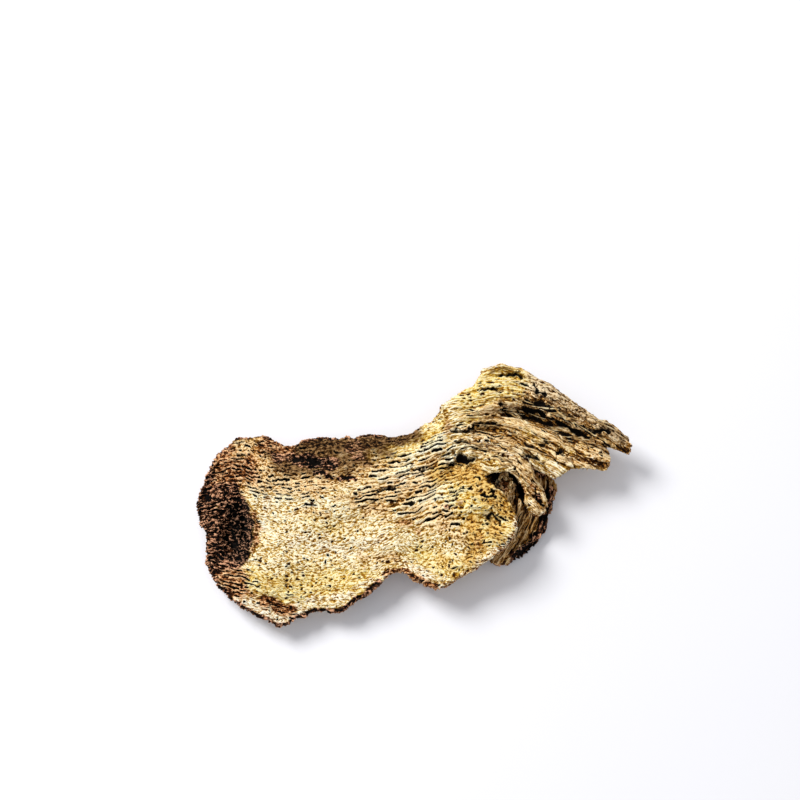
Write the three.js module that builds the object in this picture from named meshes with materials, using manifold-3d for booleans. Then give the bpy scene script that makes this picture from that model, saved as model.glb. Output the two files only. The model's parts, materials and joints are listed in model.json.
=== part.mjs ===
// A dried slice of pubescent angelica root, lying flat as it was cut along its length.
// Units are millimetres. +X runs from the crown to the root's split end, +Y away from the viewer,
// +Z up. The origin is under the middle of the slice, on the surface that it rests on.
//
// The root is one grown thing, so it is split only at its main forks: the body with the crown,
// the split side root, the curled side root and the lower side root.
import * as THREE from "three";
import Module from "manifold-3d";
import { ImprovedNoise } from "three/addons/math/ImprovedNoise.js";
import { mergeVertices } from "three/addons/utils/BufferGeometryUtils.js";

const { clamp, lerp, smoothstep } = THREE.MathUtils;

// The cut face's height above the table, and where it rises or drops: by `amount` between the two
// places along X or Y.
const FACE_HEIGHT = 5.4;
const LOBE_RISE = { amount: 2.9, from: -8, to: 16 };
const CROWN_DROP = { amount: -2.6, from: -36, to: -43 };
const BACK_DROP = { amount: -1.3, from: 6, to: 12.5 };
const BACK_DROP_END = { amount: 1, from: 6, to: -3 };
const FRONT_DROP = { amount: -0.9, from: -16, to: -25 };

// The underside is flat on the table, and bends up off it at the lobe and along the edges.
const LOBE_LIFT = { amount: 4.7, from: 3, to: 13.5 };
const FRONT_LIFT = { amount: 1.6, from: -15, to: -24 };
const CROWN_LIFT = { amount: 1.6, from: -37, to: -42 };
const BACK_LIFT = { amount: 1.3, from: 7, to: 13 };
const FLAT_DEPTH = 0.25;

// The underside is this much narrower than the cut face at its front and back edges.
const UNDERCUT = { front: 1.2, back: 0.5 };

// The hollow where the stem died back, as an ellipse in the crown.
const HOLLOW = { x: -34.8, y: -6.2, halfLength: 3.3, halfWidth: 6.4, depth: 3.0 };

// Other dents in the cut face: a dark rot pit, the sink where the front is bruised, a knot in the
// lobe, and the gaping crease where the lobe leaves the curled side root.
const DENTS = [
  { x: -18.0, y: 7.2, radius: 3.0, depth: 1.0 },
  { x: -26.0, y: -20.6, radius: 2.4, depth: 0.6 },
  { x: 14.4, y: -5.4, radius: 2.4, depth: 0.8 },
  { x: 7.8, y: 6.2, radius: 3.0, depth: 1.6 },
];

// The relief of the dried root: broad waves, ridges along the fibres, and lumps of bark, which
// cover the crown between two places along X.
const WAVE = { size: 10, height: 0.55 };
const FIBRE = { spacing: 3.4, length: 12, height: 0.55 };
const BARK_LUMP = { size: 3.4, height: 0.7 };
const BARK_COVER = { amount: 1, from: -30, to: -37 };

// The ragged edge, and the cross wrinkles of bark round the crown, which fade out along X.
const RAGGED = { size: 2.3, height: 0.5 };
const WRINKLE = { amount: 0.45, from: -33, to: -37.5 };

// Lumps on the side roots and along their edges. Folds show less on their undersides.
const SIDE_RELIEF = { size: 2.4, height: 0.3, ragSize: 1.6, foldUnderneath: 0.5 };

// The lower side root's height in its middle, and the small rolled lip that stands on it in the
// gap beside the lobe.
const LOWER_HEIGHT = 3.3;
const LIP = { x: 17.2, y: 2.4, radius: 1.5, width: 0.75, height: 2.6 };

const noiseField = new ImprovedNoise();

// Smooth lumps of about the given size, from -1 to 1.
function lumps(x, y, size, layer) {
  return 1.6 * noiseField.noise(x / size, y / size, layer * 7.31);
}

// Long lumps that follow the fibres.
function fibres(along, across, layer) {
  return 1.6 * noiseField.noise(along / FIBRE.length, across / FIBRE.spacing, layer * 3.17);
}

// A rise or a drop that is complete at its `to` end.
function slope(place, { amount, from, to }) {
  const t = clamp((place - from) / (to - from), 0, 1);
  return amount * t * t * (3 - 2 * t);
}

// 1 at the middle of a round dent, easing to 0 at its radius.
function dentShape(x, y, dent) {
  const away = Math.hypot(x - dent.x, y - dent.y) / dent.radius;
  return 1 - smoothstep(away, 0.25, 1.0);
}

// 1 over the floor of the crown's hollow, falling steeply to 0 at its wall.
function hollowShape(x, y) {
  const away = Math.hypot((x - HOLLOW.x) / HOLLOW.halfLength, (y - HOLLOW.y) / HOLLOW.halfWidth);
  return 1 - smoothstep(away, 0.62, 1.08);
}

// A rail is one long edge of a piece: a smooth curve through that edge's points.
function rail(ribs, side) {
  const points = ribs.map((rib) => new THREE.Vector3(rib[side][0], rib[side][1], 0));
  return new THREE.CatmullRomCurve3(points, false, "centripetal");
}

// A flattish solid between two rails. Each rib joins a point of the front rail to one of the back
// rail. top(x, y, u, v) and bottom(x, y, u, v) give heights, where u runs along the piece and v
// from the front rail to the back one, and edge(u, side) says how far the bark stands out there.
// Its underside is narrower than its top by `undercut` at either edge.
function slab({ ribs, stepsPerRib, across, top, bottom, edge, bulge, undercut = { front: 0, back: 0 } }) {
  const rails = [rail(ribs, 0), rail(ribs, 1)];
  const steps = (ribs.length - 1) * stepsPerRib;
  const wallRows = 2;
  const ringSize = 2 * (across + 1) + 2 * wallRows;
  const positions = [];

  for (let i = 0; i <= steps; i++) {
    const u = i / steps;
    const front = rails[0].getPoint(u);
    const back = rails[1].getPoint(u);
    const outward = back.clone().sub(front).normalize();
    front.addScaledVector(outward, -edge(u, 0, front));
    back.addScaledVector(outward, edge(u, 1, back));

    const lowerFront = front.clone().addScaledVector(outward, undercut.front * fade(u));
    const lowerBack = back.clone().addScaledVector(outward, -undercut.back * fade(u));

    const topRow = [];
    const bottomRow = [];
    for (let j = 0; j <= across; j++) {
      const v = j / across;
      const p = front.clone().lerp(back, v);
      const q = lowerFront.clone().lerp(lowerBack, v);
      topRow.push([p.x, p.y, top(p.x, p.y, u, v)]);
      bottomRow.push([q.x, q.y, bottom(q.x, q.y, u, v)]);
    }

    const wall = (upper, lower, direction) => {
      const rows = [];
      for (let k = 1; k <= wallRows; k++) {
        const t = k / (wallRows + 1);
        const out = bulge * Math.sin(Math.PI * t) * direction;
        rows.push([
          lerp(upper[0], lower[0], t) + outward.x * out,
          lerp(upper[1], lower[1], t) + outward.y * out,
          lerp(upper[2], lower[2], t),
        ]);
      }
      return rows;
    };
    const backWall = wall(topRow[across], bottomRow[across], 1);
    const frontWall = wall(topRow[0], bottomRow[0], -1);
    positions.push(...topRow, ...backWall, ...bottomRow.reverse(), ...frontWall.reverse());
  }

  const index = [];
  for (let i = 0; i < steps; i++) {
    for (let k = 0; k < ringSize; k++) {
      const next = (k + 1) % ringSize;
      const [a, b] = [i * ringSize + k, i * ringSize + next];
      index.push(a, a + ringSize, b, b, a + ringSize, b + ringSize);
    }
  }
  for (const ring of [0, steps]) {
    index.push(...capFaces(ring * ringSize, across, wallRows, ring === 0));
  }

  const geometry = new THREE.BufferGeometry();
  geometry.setAttribute("position", new THREE.Float32BufferAttribute(positions.flat(), 3));
  geometry.setIndex(index);
  return geometry;
}

// 1 along a piece, easing to 0 at its two ends.
function fade(u) {
  return smoothstep(u, 0, 0.06) * (1 - smoothstep(u, 0.94, 1));
}

// The faces that close one end of a slab, as a strip between its top and bottom rows.
function capFaces(start, across, wallRows, isFirst) {
  const topAt = (j) => start + j;
  const bottomAt = (j) => start + 2 * across + 1 + wallRows - j;
  const backWallAt = (k) => start + across + k;
  const frontWallAt = (k) => start + 2 * (across + 1) + 2 * wallRows - k;
  const faces = [];
  for (let j = 0; j < across; j++) {
    faces.push([topAt(j), topAt(j + 1), bottomAt(j)], [topAt(j + 1), bottomAt(j + 1), bottomAt(j)]);
  }
  const backFan = [topAt(across), backWallAt(1), backWallAt(2), bottomAt(across)];
  const frontFan = [bottomAt(0), frontWallAt(2), frontWallAt(1), topAt(0)];
  for (const fan of [backFan, frontFan]) {
    faces.push([fan[0], fan[1], fan[2]], [fan[0], fan[2], fan[3]]);
  }
  return faces.flatMap((face) => (isFirst ? face : [face[0], face[2], face[1]]));
}

// How rounded a piece is across its width: 1 in the middle, `least` at either edge.
function crown(v, least) {
  return lerp(least, 1, Math.sqrt(Math.max(0, 1 - Math.abs(2 * v - 1) ** 3)));
}

// A smooth value through a list of evenly spaced ones, for heights along a side root.
function along(values, u) {
  const place = u * (values.length - 1);
  const i = Math.min(Math.floor(place), values.length - 2);
  return lerp(values[i], values[i + 1], smoothstep(place - i, 0, 1));
}

// A groove that runs along a side root, as a drop in height at v.
function fold(v, { at, width, depth }) {
  return -depth * Math.exp(-(((v - at) / width) ** 2));
}

// The body: crown, cut face and main lobe, from the crown's tip to the lobe's, front then back.
// The front falls behind the back before the fork, so that no rib runs along the fork's wall.
const BODY_RIBS = [
  [[-42.4, -2.8], [-42.5, -1.0]],
  [[-41.6, -5.2], [-42.0, 1.2]],
  [[-40.3, -7.2], [-41.0, 3.8]],
  [[-40.4, -9.6], [-40.1, 6.2]],
  [[-40.2, -12.2], [-38.9, 8.5]],
  [[-39.3, -14.7], [-37.0, 10.3]],
  [[-37.6, -17.1], [-35.4, 11.8]],
  [[-35.5, -19.4], [-33.2, 12.3]],
  [[-33.1, -21.3], [-31.0, 12.1]],
  [[-30.2, -22.9], [-29.2, 12.6]],
  [[-27.5, -24.3], [-27.5, 11.2]],
  [[-25.1, -24.7], [-24.7, 10.3]],
  [[-23.0, -24.0], [-22.0, 11.3]],
  [[-21.2, -22.8], [-19.0, 12.0]],
  [[-19.2, -22.2], [-16.0, 12.1]],
  [[-17.2, -22.3], [-13.0, 12.0]],
  [[-15.2, -22.0], [-10.0, 12.3]],
  [[-13.2, -21.2], [-7.0, 12.4]],
  [[-11.2, -20.0], [-4.0, 12.2]],
  [[-9.2, -18.8], [-1.4, 12.6]],
  [[-7.2, -17.3], [1.0, 13.5]],
  [[-5.8, -15.6], [3.0, 15.0]],
  [[-4.4, -14.6], [4.6, 16.5]],
  [[-2.8, -14.8], [5.6, 17.6]],
  [[-1.0, -15.7], [6.5, 13.8]],
  [[0.6, -16.6], [7.4, 10.0]],
  [[2.6, -17.8], [8.4, 6.6]],
  [[6.0, -17.5], [12.0, 5.0]],
  [[9.6, -15.4], [14.1, 2.4]],
  [[13.0, -13.2], [16.5, 0.3]],
  [[16.2, -11.0], [18.2, -1.4]],
  [[18.4, -8.6], [19.0, -3.4]],
  [[19.3, -6.6], [19.4, -5.0]],
];

// The split side root is two layers: a broad lower flap, and a barky strip that lies over its back.
const FLAP_RIBS = [
  [[7.25, 11.9], [6.1, 16.8]],
  [[9.6, 12.3], [9.0, 17.6]],
  [[12.4, 11.7], [12.2, 18.2]],
  [[15.2, 10.9], [15.6, 18.4]],
  [[18.0, 9.6], [19.2, 18.2]],
  [[20.6, 8.0], [22.6, 17.6]],
  [[22.8, 6.0], [25.6, 16.4]],
  [[25.0, 4.2], [28.4, 15.0]],
  [[27.0, 3.2], [30.8, 13.6]],
  [[29.2, 4.6], [33.0, 12.2]],
  [[32.0, 5.6], [34.8, 10.8]],
  [[34.8, 4.8], [36.8, 9.6]],
  [[37.4, 5.0], [37.9, 7.9]],
];
const STRIP_RIBS = [
  [[6.9, 14.4], [5.9, 17.4]],
  [[9.4, 15.4], [8.2, 20.1]],
  [[12.2, 16.4], [11.4, 21.6]],
  [[15.0, 17.0], [13.2, 24.8]],
  [[18.0, 17.4], [17.0, 25.5]],
  [[21.0, 17.2], [20.8, 24.4]],
  [[24.2, 16.2], [24.2, 21.6]],
  [[27.2, 14.8], [27.4, 20.6]],
  [[30.2, 13.2], [30.6, 17.8]],
  [[33.0, 11.9], [33.8, 15.4]],
  [[35.8, 10.2], [37.0, 14.0]],
  [[38.4, 8.6], [39.8, 12.4]],
  [[41.0, 7.7], [42.2, 9.6]],
];

// The curled side root is webbed to the lobe where it starts, arches over the gap beside it and
// ends in a thick knob.
const CURL_RIBS = [
  [[8.75, 7.3], [7.7, 11.3]],
  [[11.0, 6.1], [10.6, 11.0]],
  [[13.2, 4.7], [13.8, 10.0]],
  [[15.4, 4.3], [16.6, 8.7]],
  [[18.0, 4.1], [19.5, 7.0]],
  [[19.9, 2.8], [21.8, 5.2]],
  [[20.7, 1.0], [22.9, 2.8]],
  [[21.2, -0.9], [24.4, 0.6]],
  [[22.0, -2.7], [25.3, -1.4]],
  [[23.3, -4.1], [24.9, -3.4]],
];

// The lower side root starts under the fork and comes forward under the lobe.
const LOWER_RIBS = [
  [[8.9, 8.4], [8.1, 11.6]],
  [[12.0, 6.6], [14.0, 12.0]],
  [[14.6, 4.4], [20.0, 10.0]],
  [[15.6, 2.4], [24.6, 6.6]],
  [[16.2, 0.2], [27.9, 3.0]],
  [[16.4, -2.6], [26.8, -0.6]],
  [[15.8, -5.4], [25.6, -4.4]],
  [[15.0, -8.0], [23.8, -8.0]],
  [[14.4, -10.4], [20.4, -10.8]],
  [[14.8, -12.6], [17.6, -12.8]],
];

// Bark stands out unevenly all round the body, and in cross wrinkles round the crown. The fork's
// wall is left straight, because the side roots fit against it.
function bodyEdge(u, side, point) {
  const isFork = side === 1 && point.x > 5.2 && point.y > 5.5;
  if (isFork) return 0;
  const ragged = RAGGED.height * lumps(point.x, point.y, RAGGED.size, 2);
  const ribPhase = 2 * Math.PI * u * (BODY_RIBS.length - 1);
  return ragged + slope(point.x, WRINKLE) * Math.sin(ribPhase + 0.8);
}

// The body's cut face.
function bodyTop(x, y) {
  const shape =
    FACE_HEIGHT +
    slope(x, LOBE_RISE) +
    slope(x, CROWN_DROP) +
    slope(y, BACK_DROP) * slope(x, BACK_DROP_END) +
    slope(y, FRONT_DROP);
  const waves = WAVE.height * lumps(x, y * 1.5, WAVE.size, 1) + FIBRE.height * fibres(x, y, 1);
  const bark = slope(x, BARK_COVER) * BARK_LUMP.height * lumps(x, y * 1.3, BARK_LUMP.size, 5);
  const dents = DENTS.reduce((sum, dent) => sum + dent.depth * dentShape(x, y, dent), 0);
  return shape + waves + bark - dents - HOLLOW.depth * hollowShape(x, y);
}

// The body's underside, the other cut face.
function bodyBottom(x, y) {
  const lift = slope(x, LOBE_LIFT) + slope(y, FRONT_LIFT) + slope(x, CROWN_LIFT) + slope(y, BACK_LIFT);
  const waves = WAVE.height * lumps(x, y * 1.5, WAVE.size, 8) + 0.5 * FIBRE.height * fibres(x, y, 9);
  return Math.max(0, lift + waves - FLAT_DEPTH);
}

// Ragged edges for a side root, but none where it meets the fork.
function raggedEdge(height, layer) {
  return (u, side, point) => {
    if (u < 0.06) return 0;
    return height * lumps(point.x, point.y, SIDE_RELIEF.ragSize, layer + side);
  };
}

// Top and bottom heights for a side root: a middle height and a thickness along its length,
// rounded across its width, with folds that run along it. It grows out of the body, so at the fork
// it has the body's own height, and keeps its own underside there only if the body's is `hidden`.
function sideRoot({ middles, thicknesses, least, folds, layer, hidden = false }) {
  const surface = (sign) => (x, y, u, v) => {
    const half = (along(thicknesses, u) / 2) * crown(v, least);
    const depth = folds.reduce((sum, f) => sum + smoothstep(u, 0, f.start) * fold(v, f), 0);
    const relief = SIDE_RELIEF.height * lumps(x, y, SIDE_RELIEF.size, layer + sign) * smoothstep(u, 0, 0.1);
    const folded = sign > 0 ? depth : SIDE_RELIEF.foldUnderneath * depth;
    const own = along(middles, u) + sign * half + folded + relief;
    if (hidden && sign < 0) return own;
    const atFork = sign > 0 ? bodyTop(x, y) : bodyBottom(x, y);
    return lerp(atFork, own, smoothstep(u, 0, 0.25));
  };
  return { top: surface(1), bottom: surface(-1) };
}

const FLAP = sideRoot({
  middles: [5.0, 5.8, 6.6, 7.0, 7.2, 7.2, 7.2, 7.0, 6.8],
  thicknesses: [4.4, 3.4, 2.8, 2.6, 2.6, 2.8, 2.6, 2.4, 1.8],
  least: 0.5,
  folds: [
    { at: 0.2, width: 0.08, depth: 0.8, start: 0.3 },
    { at: 0.52, width: 0.09, depth: 0.9, start: 0.2 },
    { at: 0.84, width: 0.18, depth: 1.9, start: 0.3 },
  ],
  layer: 11,
});
const STRIP = sideRoot({
  middles: [5.0, 6.2, 7.5, 8.8, 9.4, 9.2, 8.6, 8.0, 7.0],
  thicknesses: [4.4, 3.8, 3.2, 3.0, 2.8, 2.6, 2.6, 2.6, 2.0],
  least: 0.45,
  folds: [
    { at: 0.72, width: 0.09, depth: 1.1, start: 0.35 },
    { at: 0.42, width: 0.08, depth: 0.7, start: 0.4 },
  ],
  layer: 21,
});
const CURL = sideRoot({
  middles: [5.6, 6.8, 8.0, 8.8, 8.9, 8.4, 7.2, 6.2, 5.7],
  thicknesses: [3.0, 2.8, 2.6, 2.6, 2.7, 2.9, 3.2, 3.4, 2.6],
  least: 0.4,
  folds: [
    { at: 0.38, width: 0.1, depth: 0.7, start: 0.25 },
    { at: 0.7, width: 0.09, depth: 0.5, start: 0.3 },
  ],
  layer: 31,
  hidden: true,
});

// The lower side root: rounded above, with ridges along it, and thinner at its outer edge.
function lowerTop(x, y, u, v) {
  const away = Math.hypot(x - LIP.x, y - LIP.y);
  const lip = LIP.height * Math.exp(-(((away - LIP.radius) / LIP.width) ** 2));
  const ridges = 0.5 * FIBRE.height * fibres(y, x, 41) + 0.2 * lumps(x, y, 2, 42);
  return LOWER_HEIGHT * crown(v, 0.55) - 0.5 * smoothstep(v, 0.6, 1) + ridges + lip;
}

// Its underside lies on the table, and rises at its edges and towards the fork.
function lowerBottom(x, y, u, v) {
  const lift = 0.9 * (1 - crown(v, 0.1)) + 1.2 * (1 - smoothstep(u, 0, 0.3));
  return Math.max(0, lift + 0.25 * lumps(x, y, 3, 43) - 0.15);
}

const bodyGeometry = slab({
  ribs: BODY_RIBS,
  stepsPerRib: 2,
  across: 20,
  top: bodyTop,
  bottom: bodyBottom,
  edge: bodyEdge,
  bulge: 0.4,
  undercut: UNDERCUT,
});
const flapGeometry = slab({
  ribs: FLAP_RIBS,
  stepsPerRib: 2,
  across: 9,
  ...FLAP,
  edge: raggedEdge(0.5, 12),
  bulge: 0.3,
});
const stripGeometry = slab({
  ribs: STRIP_RIBS,
  stepsPerRib: 2,
  across: 7,
  ...STRIP,
  edge: raggedEdge(0.5, 22),
  bulge: 0.3,
});
const curlGeometry = slab({
  ribs: CURL_RIBS,
  stepsPerRib: 2,
  across: 7,
  ...CURL,
  edge: raggedEdge(0.25, 32),
  bulge: 0.25,
});
const lowerGeometry = slab({
  ribs: LOWER_RIBS,
  stepsPerRib: 2,
  across: 8,
  top: lowerTop,
  bottom: lowerBottom,
  edge: raggedEdge(0.4, 44),
  bulge: 0.3,
});

const wasm = await Module();
wasm.setup();

function toSolid(geometry) {
  const merged = mergeVertices(geometry, 1e-4);
  return new wasm.Manifold(
    new wasm.Mesh({
      numProp: 3,
      vertProperties: merged.attributes.position.array,
      triVerts: new Uint32Array(merged.index.array),
    }),
  );
}

function toGeometry(solid) {
  const mesh = solid.getMesh();
  const geometry = new THREE.BufferGeometry();
  geometry.setAttribute("position", new THREE.BufferAttribute(mesh.vertProperties, 3));
  geometry.setIndex(new THREE.BufferAttribute(mesh.triVerts, 1));
  return geometry;
}

function piece(name, geometry, colour, roughness) {
  const material = new THREE.MeshStandardMaterial({ color: colour, roughness, metalness: 0 });
  const mesh = new THREE.Mesh(geometry, material);
  mesh.name = name;
  return mesh;
}

const splitGeometry = toGeometry(toSolid(flapGeometry).add(toSolid(stripGeometry)));

const rootSlice = new THREE.Group();
rootSlice.add(
  piece("root_body", bodyGeometry, "#cdb684", 0.9),
  piece("split_side_root", splitGeometry, "#b8965a", 0.88),
  piece("curled_side_root", curlGeometry, "#c7aa70", 0.88),
  piece("lower_side_root", lowerGeometry, "#7d6342", 0.92),
);

// The origin goes under the middle of the slice, at its lowest point.
const extent = new THREE.Box3().setFromObject(rootSlice);
const middle = extent.getCenter(new THREE.Vector3());
rootSlice.position.set(-middle.x, -middle.y, -extent.min.z);

export default rootSlice;
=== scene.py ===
# %% [markdown]
# # A dried slice of pubescent angelica root
#
# The root was cut along its length and dried. Its cut face is pale, fibrous wood with oil specks
# and open slits, its edge is dark crumbling bark, and at one end it forks into shrivelled side
# roots. The solid model gives the slice its size and main forms. This lesson dresses it: every
# solid is copied, given a fine mesh, carved along its grain and coloured.

# %% Load the solid model
import json
import math

import bpy
import numpy as np
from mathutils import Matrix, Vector, kdtree
from mathutils.bvhtree import BVHTree

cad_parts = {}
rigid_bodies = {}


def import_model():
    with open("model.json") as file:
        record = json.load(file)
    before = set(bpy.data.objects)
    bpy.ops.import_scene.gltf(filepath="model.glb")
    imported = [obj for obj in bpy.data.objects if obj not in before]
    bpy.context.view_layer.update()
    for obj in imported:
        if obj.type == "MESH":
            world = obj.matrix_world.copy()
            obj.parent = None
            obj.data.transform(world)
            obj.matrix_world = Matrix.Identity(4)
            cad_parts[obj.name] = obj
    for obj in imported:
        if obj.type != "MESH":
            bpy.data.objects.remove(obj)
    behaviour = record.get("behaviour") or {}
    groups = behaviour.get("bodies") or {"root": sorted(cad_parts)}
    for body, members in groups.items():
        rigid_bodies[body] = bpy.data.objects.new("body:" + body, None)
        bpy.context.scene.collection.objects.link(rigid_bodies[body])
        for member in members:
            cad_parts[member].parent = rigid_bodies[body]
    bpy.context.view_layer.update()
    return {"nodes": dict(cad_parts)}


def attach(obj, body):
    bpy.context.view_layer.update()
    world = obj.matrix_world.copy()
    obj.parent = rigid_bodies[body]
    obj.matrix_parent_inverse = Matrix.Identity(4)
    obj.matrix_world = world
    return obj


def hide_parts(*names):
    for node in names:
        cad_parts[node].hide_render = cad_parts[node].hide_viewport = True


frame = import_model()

MM = 0.001
print("solids:", sorted(frame["nodes"]))

# %% [markdown]
# ## Camera
#
# The photograph looks down on the slice from a steep angle, so the camera stands at an elevation
# of 75 degrees. A 70 mm lens keeps the far side from shrinking much. How far away it stands
# follows from the width of table that the picture shows.

# %% Camera
ELEVATION = math.radians(75)
LENS = 70
SENSOR = 36
FRAME_WIDTH = 160 * MM
AIM = Vector((-2.84, 20.22, 0)) * MM
NEAREST = 10 * MM


def make_camera():
    """Looks down on the slice along +Y, with its right-hand side along +X."""
    bpy.ops.object.select_all(action="DESELECT")
    distance = FRAME_WIDTH * LENS / SENSOR
    away = Vector((0, -math.cos(ELEVATION), math.sin(ELEVATION))) * distance
    bpy.ops.object.camera_add(location=AIM + away, rotation=(math.pi / 2 - ELEVATION, 0, 0))
    camera = bpy.context.active_object
    camera.data.lens = LENS
    camera.data.sensor_width = SENSOR
    camera.data.clip_start = NEAREST
    bpy.context.scene.camera = camera
    return distance


print(f"camera distance: {make_camera() / MM:.0f} mm")

# %% [markdown]
# ## Helpers
#
# Colours are read from the object as hex values, which hold sRGB, while a shader wants linear
# light, so one function turns one into the other. Another adds a node, sets it and links it. It
# serves materials and mesh trees alike, since both take the same noise and maths nodes.

# %% Helpers for colours and nodes
MATH, VECTOR, RANGE = "ShaderNodeMath", "ShaderNodeVectorMath", "ShaderNodeMapRange"
NOISE, MIX = "ShaderNodeTexNoise", "ShaderNodeMix"


def linear(hex_colour):
    """An sRGB hex colour as linear red, green, blue and alpha."""
    channels = [int(hex_colour[i : i + 2], 16) / 255 for i in (1, 3, 5)]
    return [c / 12.92 if c <= 0.04045 else ((c + 0.055) / 1.055) ** 2.4 for c in channels] + [1]


def add(tree, kind, inputs, **settings):
    """Adds a node, sets it, and fills its inputs with values, sockets or other nodes."""
    node = tree.nodes.new(kind)
    for name, value in settings.items():
        setattr(node, name, value)
    for name, value in inputs.items():
        if isinstance(value, bpy.types.Node):
            value = value.outputs[0]
        if isinstance(value, bpy.types.NodeSocket):
            tree.links.new(value, node.inputs[name])
        else:
            node.inputs[name].default_value = value
    return node


print("sRGB #808080 in linear light:", [round(channel, 3) for channel in linear("#808080")])

# %% [markdown]
# ## Table and light
#
# The slice lies on a plain white table under one soft light from the upper left, in a bright
# room. A plane with a slightly rough white material is all that the table needs.

# %% Table
TABLE_WIDTH = 3.0


def make_table():
    """A wide white table top of laminate, which is even and hardly glossy."""
    bpy.ops.object.select_all(action="DESELECT")
    bpy.ops.mesh.primitive_plane_add(size=TABLE_WIDTH)
    table = bpy.context.active_object
    table.name = "table"
    material = bpy.data.materials.new("white_laminate")
    material.use_nodes = True
    surface = material.node_tree.nodes["Principled BSDF"]
    surface.inputs["Base Color"].default_value = linear("#ebebee")
    surface.inputs["Roughness"].default_value = 0.6
    table.data.materials.append(material)
    print(f"table: {TABLE_WIDTH} m wide")


make_table()

# %% Lights
SOFTBOX = {"size": 0.30, "power": 6.0, "place": (-0.42, 0.34, 0.52)}
FILL = {"size": 0.6, "power": 0.5, "place": (0.30, -0.55, 0.55)}
ROOM_LIGHT = 0.55


def make_light(name, size, power, place):
    """A square area light that faces the slice."""
    bpy.ops.object.light_add(type="AREA", location=place)
    light = bpy.context.active_object
    light.name = name
    light.data.size = size
    light.data.energy = power
    light.rotation_euler = (-Vector(place)).to_track_quat("-Z", "Y").to_euler()
    print(f"{name}: {power} W, {size} m wide")


make_light("softbox", **SOFTBOX)
make_light("fill", **FILL)
world = bpy.data.worlds.new("room")
world.use_nodes = True
world.node_tree.nodes["Background"].inputs["Strength"].default_value = ROOM_LIGHT
world.node_tree.nodes["Background"].inputs["Color"].default_value = linear("#fbfbff")
bpy.context.scene.world = world
bpy.context.scene.view_settings.view_transform = "Standard"

# %% [markdown]
# ## The grain
#
# Root fibres aren't straight: they run along the slice, swirl round old knots, climb to the fork
# and bend into the side roots. So the grain is drawn as a few directions, each at a place, read
# off the real slice. Two height maps are then fitted over the whole slice: one climbs along the
# grain and the other across it. Together they are a coordinate system that bends with the fibres,
# and every pattern below is drawn in it.

# %% Directions of the grain
GRAIN_RUNS = [
    (-41, 5, 55), (-37, 9, 40), (-32.7, 8, -20), (-28, 6, -15), (-36, 3, -5), (-33, 2, -8),
    (-41, -5, 20), (-36, -4, 12), (-26, 0, 15), (-20, 1, 15), (-38, -12, -50), (-33, -18, -40),
    (-26, -21, -15), (-30, -8, -5), (-22, -12, 0), (-14, -15, 10), (-16, 4, 10), (-18, 9, 0),
    (-10, 9, 10), (-8, 1, 18), (0, 4, 18), (3, 7, 38), (6.5, 8.5, 45), (9, 10.2, 0),
    (-6, 0.6, -20), (-3.5, -1, 15), (2, -3, 10), (-2, -6.6, -15), (5, -8.6, 0), (9, -6.9, -35),
    (6, -3, -10), (13, -1, -20), (15, -6, -60), (17.5, -3, -60), (12.5, -11.4, 30),
    (6, -15.3, 15), (8.8, -17, 35), (3.8, -18.5, -5), (-2.3, -15.6, -10), (-6, -16.5, 35),
    (0, -11, 5), (-10, -8, 0), (5, 14, 35), (9, 14.5, 8), (12, 19, 30), (14, 23, 40),
    (18, 24.5, -5), (16, 20, 5), (20, 21, -12), (13, 14.5, 12), (17, 15, -10), (24, 18, -25),
    (24, 12, -25), (28, 16, -30), (30, 8, -12), (34, 12, -28), (38, 10, -38), (26, 5, -35),
    (34, 6, -12), (20, 10, -25), (9.5, 9.5, -8), (13, 8.2, -15), (16.5, 7, -25), (19.5, 5, -45),
    (21.5, 3, -62), (22.6, 0, -72), (24, -3, -60), (11, 5.8, -10), (14, 4, -35), (17, 1, -50),
]
LOWER_GRAIN_RUNS = [
    (10, 10, -10), (15, 9, -15), (22, 8, -40), (25, 4, -75), (25, 0, -100), (23, -4, -115),
    (20, -8, -130), (17, -11, -145), (18, 2, -100), (18, -3, -110),
]
GRAIN_GRID = {"left": -48, "front": -32, "columns": 97, "rows": 65}
GRAIN_BLUR = 3
GRAIN_FALLOFF = 1.5
print(len(GRAIN_RUNS) + len(LOWER_GRAIN_RUNS), "directions, each with its place and its degrees")

# %% Coordinates along and across the grain
FIT_ROUNDS = 900
KEPT_SPEED = 0.97
PUSH = 0.2


def fitted_heights(slope_x, slope_y):
    """The height map, on a grid of 1 mm, whose slopes come closest to the given ones."""
    height = np.zeros_like(slope_x)
    speed = np.zeros_like(slope_x)
    for _ in range(FIT_ROUNDS):
        error_x = np.diff(height, axis=1) - slope_x[:, :-1]
        error_y = np.diff(height, axis=0) - slope_y[:-1, :]
        push = np.zeros_like(height)
        push[:, :-1] += error_x
        push[:, 1:] -= error_x
        push[:-1, :] += error_y
        push[1:, :] -= error_y
        speed = KEPT_SPEED * speed + PUSH * push
        height += speed
    return height


def grain_maps(runs):
    """Height maps along and across the grain that the runs draw."""
    xs = GRAIN_GRID["left"] + np.arange(GRAIN_GRID["columns"])
    ys = GRAIN_GRID["front"] + np.arange(GRAIN_GRID["rows"])
    grid_x, grid_y = np.meshgrid(xs, ys)
    run_x = np.zeros(grid_x.shape)
    run_y = np.zeros(grid_x.shape)
    for x, y, degrees in runs:
        weight = 1 / ((grid_x - x) ** 2 + (grid_y - y) ** 2 + GRAIN_BLUR) ** GRAIN_FALLOFF
        run_x += weight * math.cos(math.radians(degrees))
        run_y += weight * math.sin(math.radians(degrees))
    length = np.hypot(run_x, run_y)
    run_x /= length
    run_y /= length
    return fitted_heights(run_x, run_y), fitted_heights(-run_y, run_x)


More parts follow.
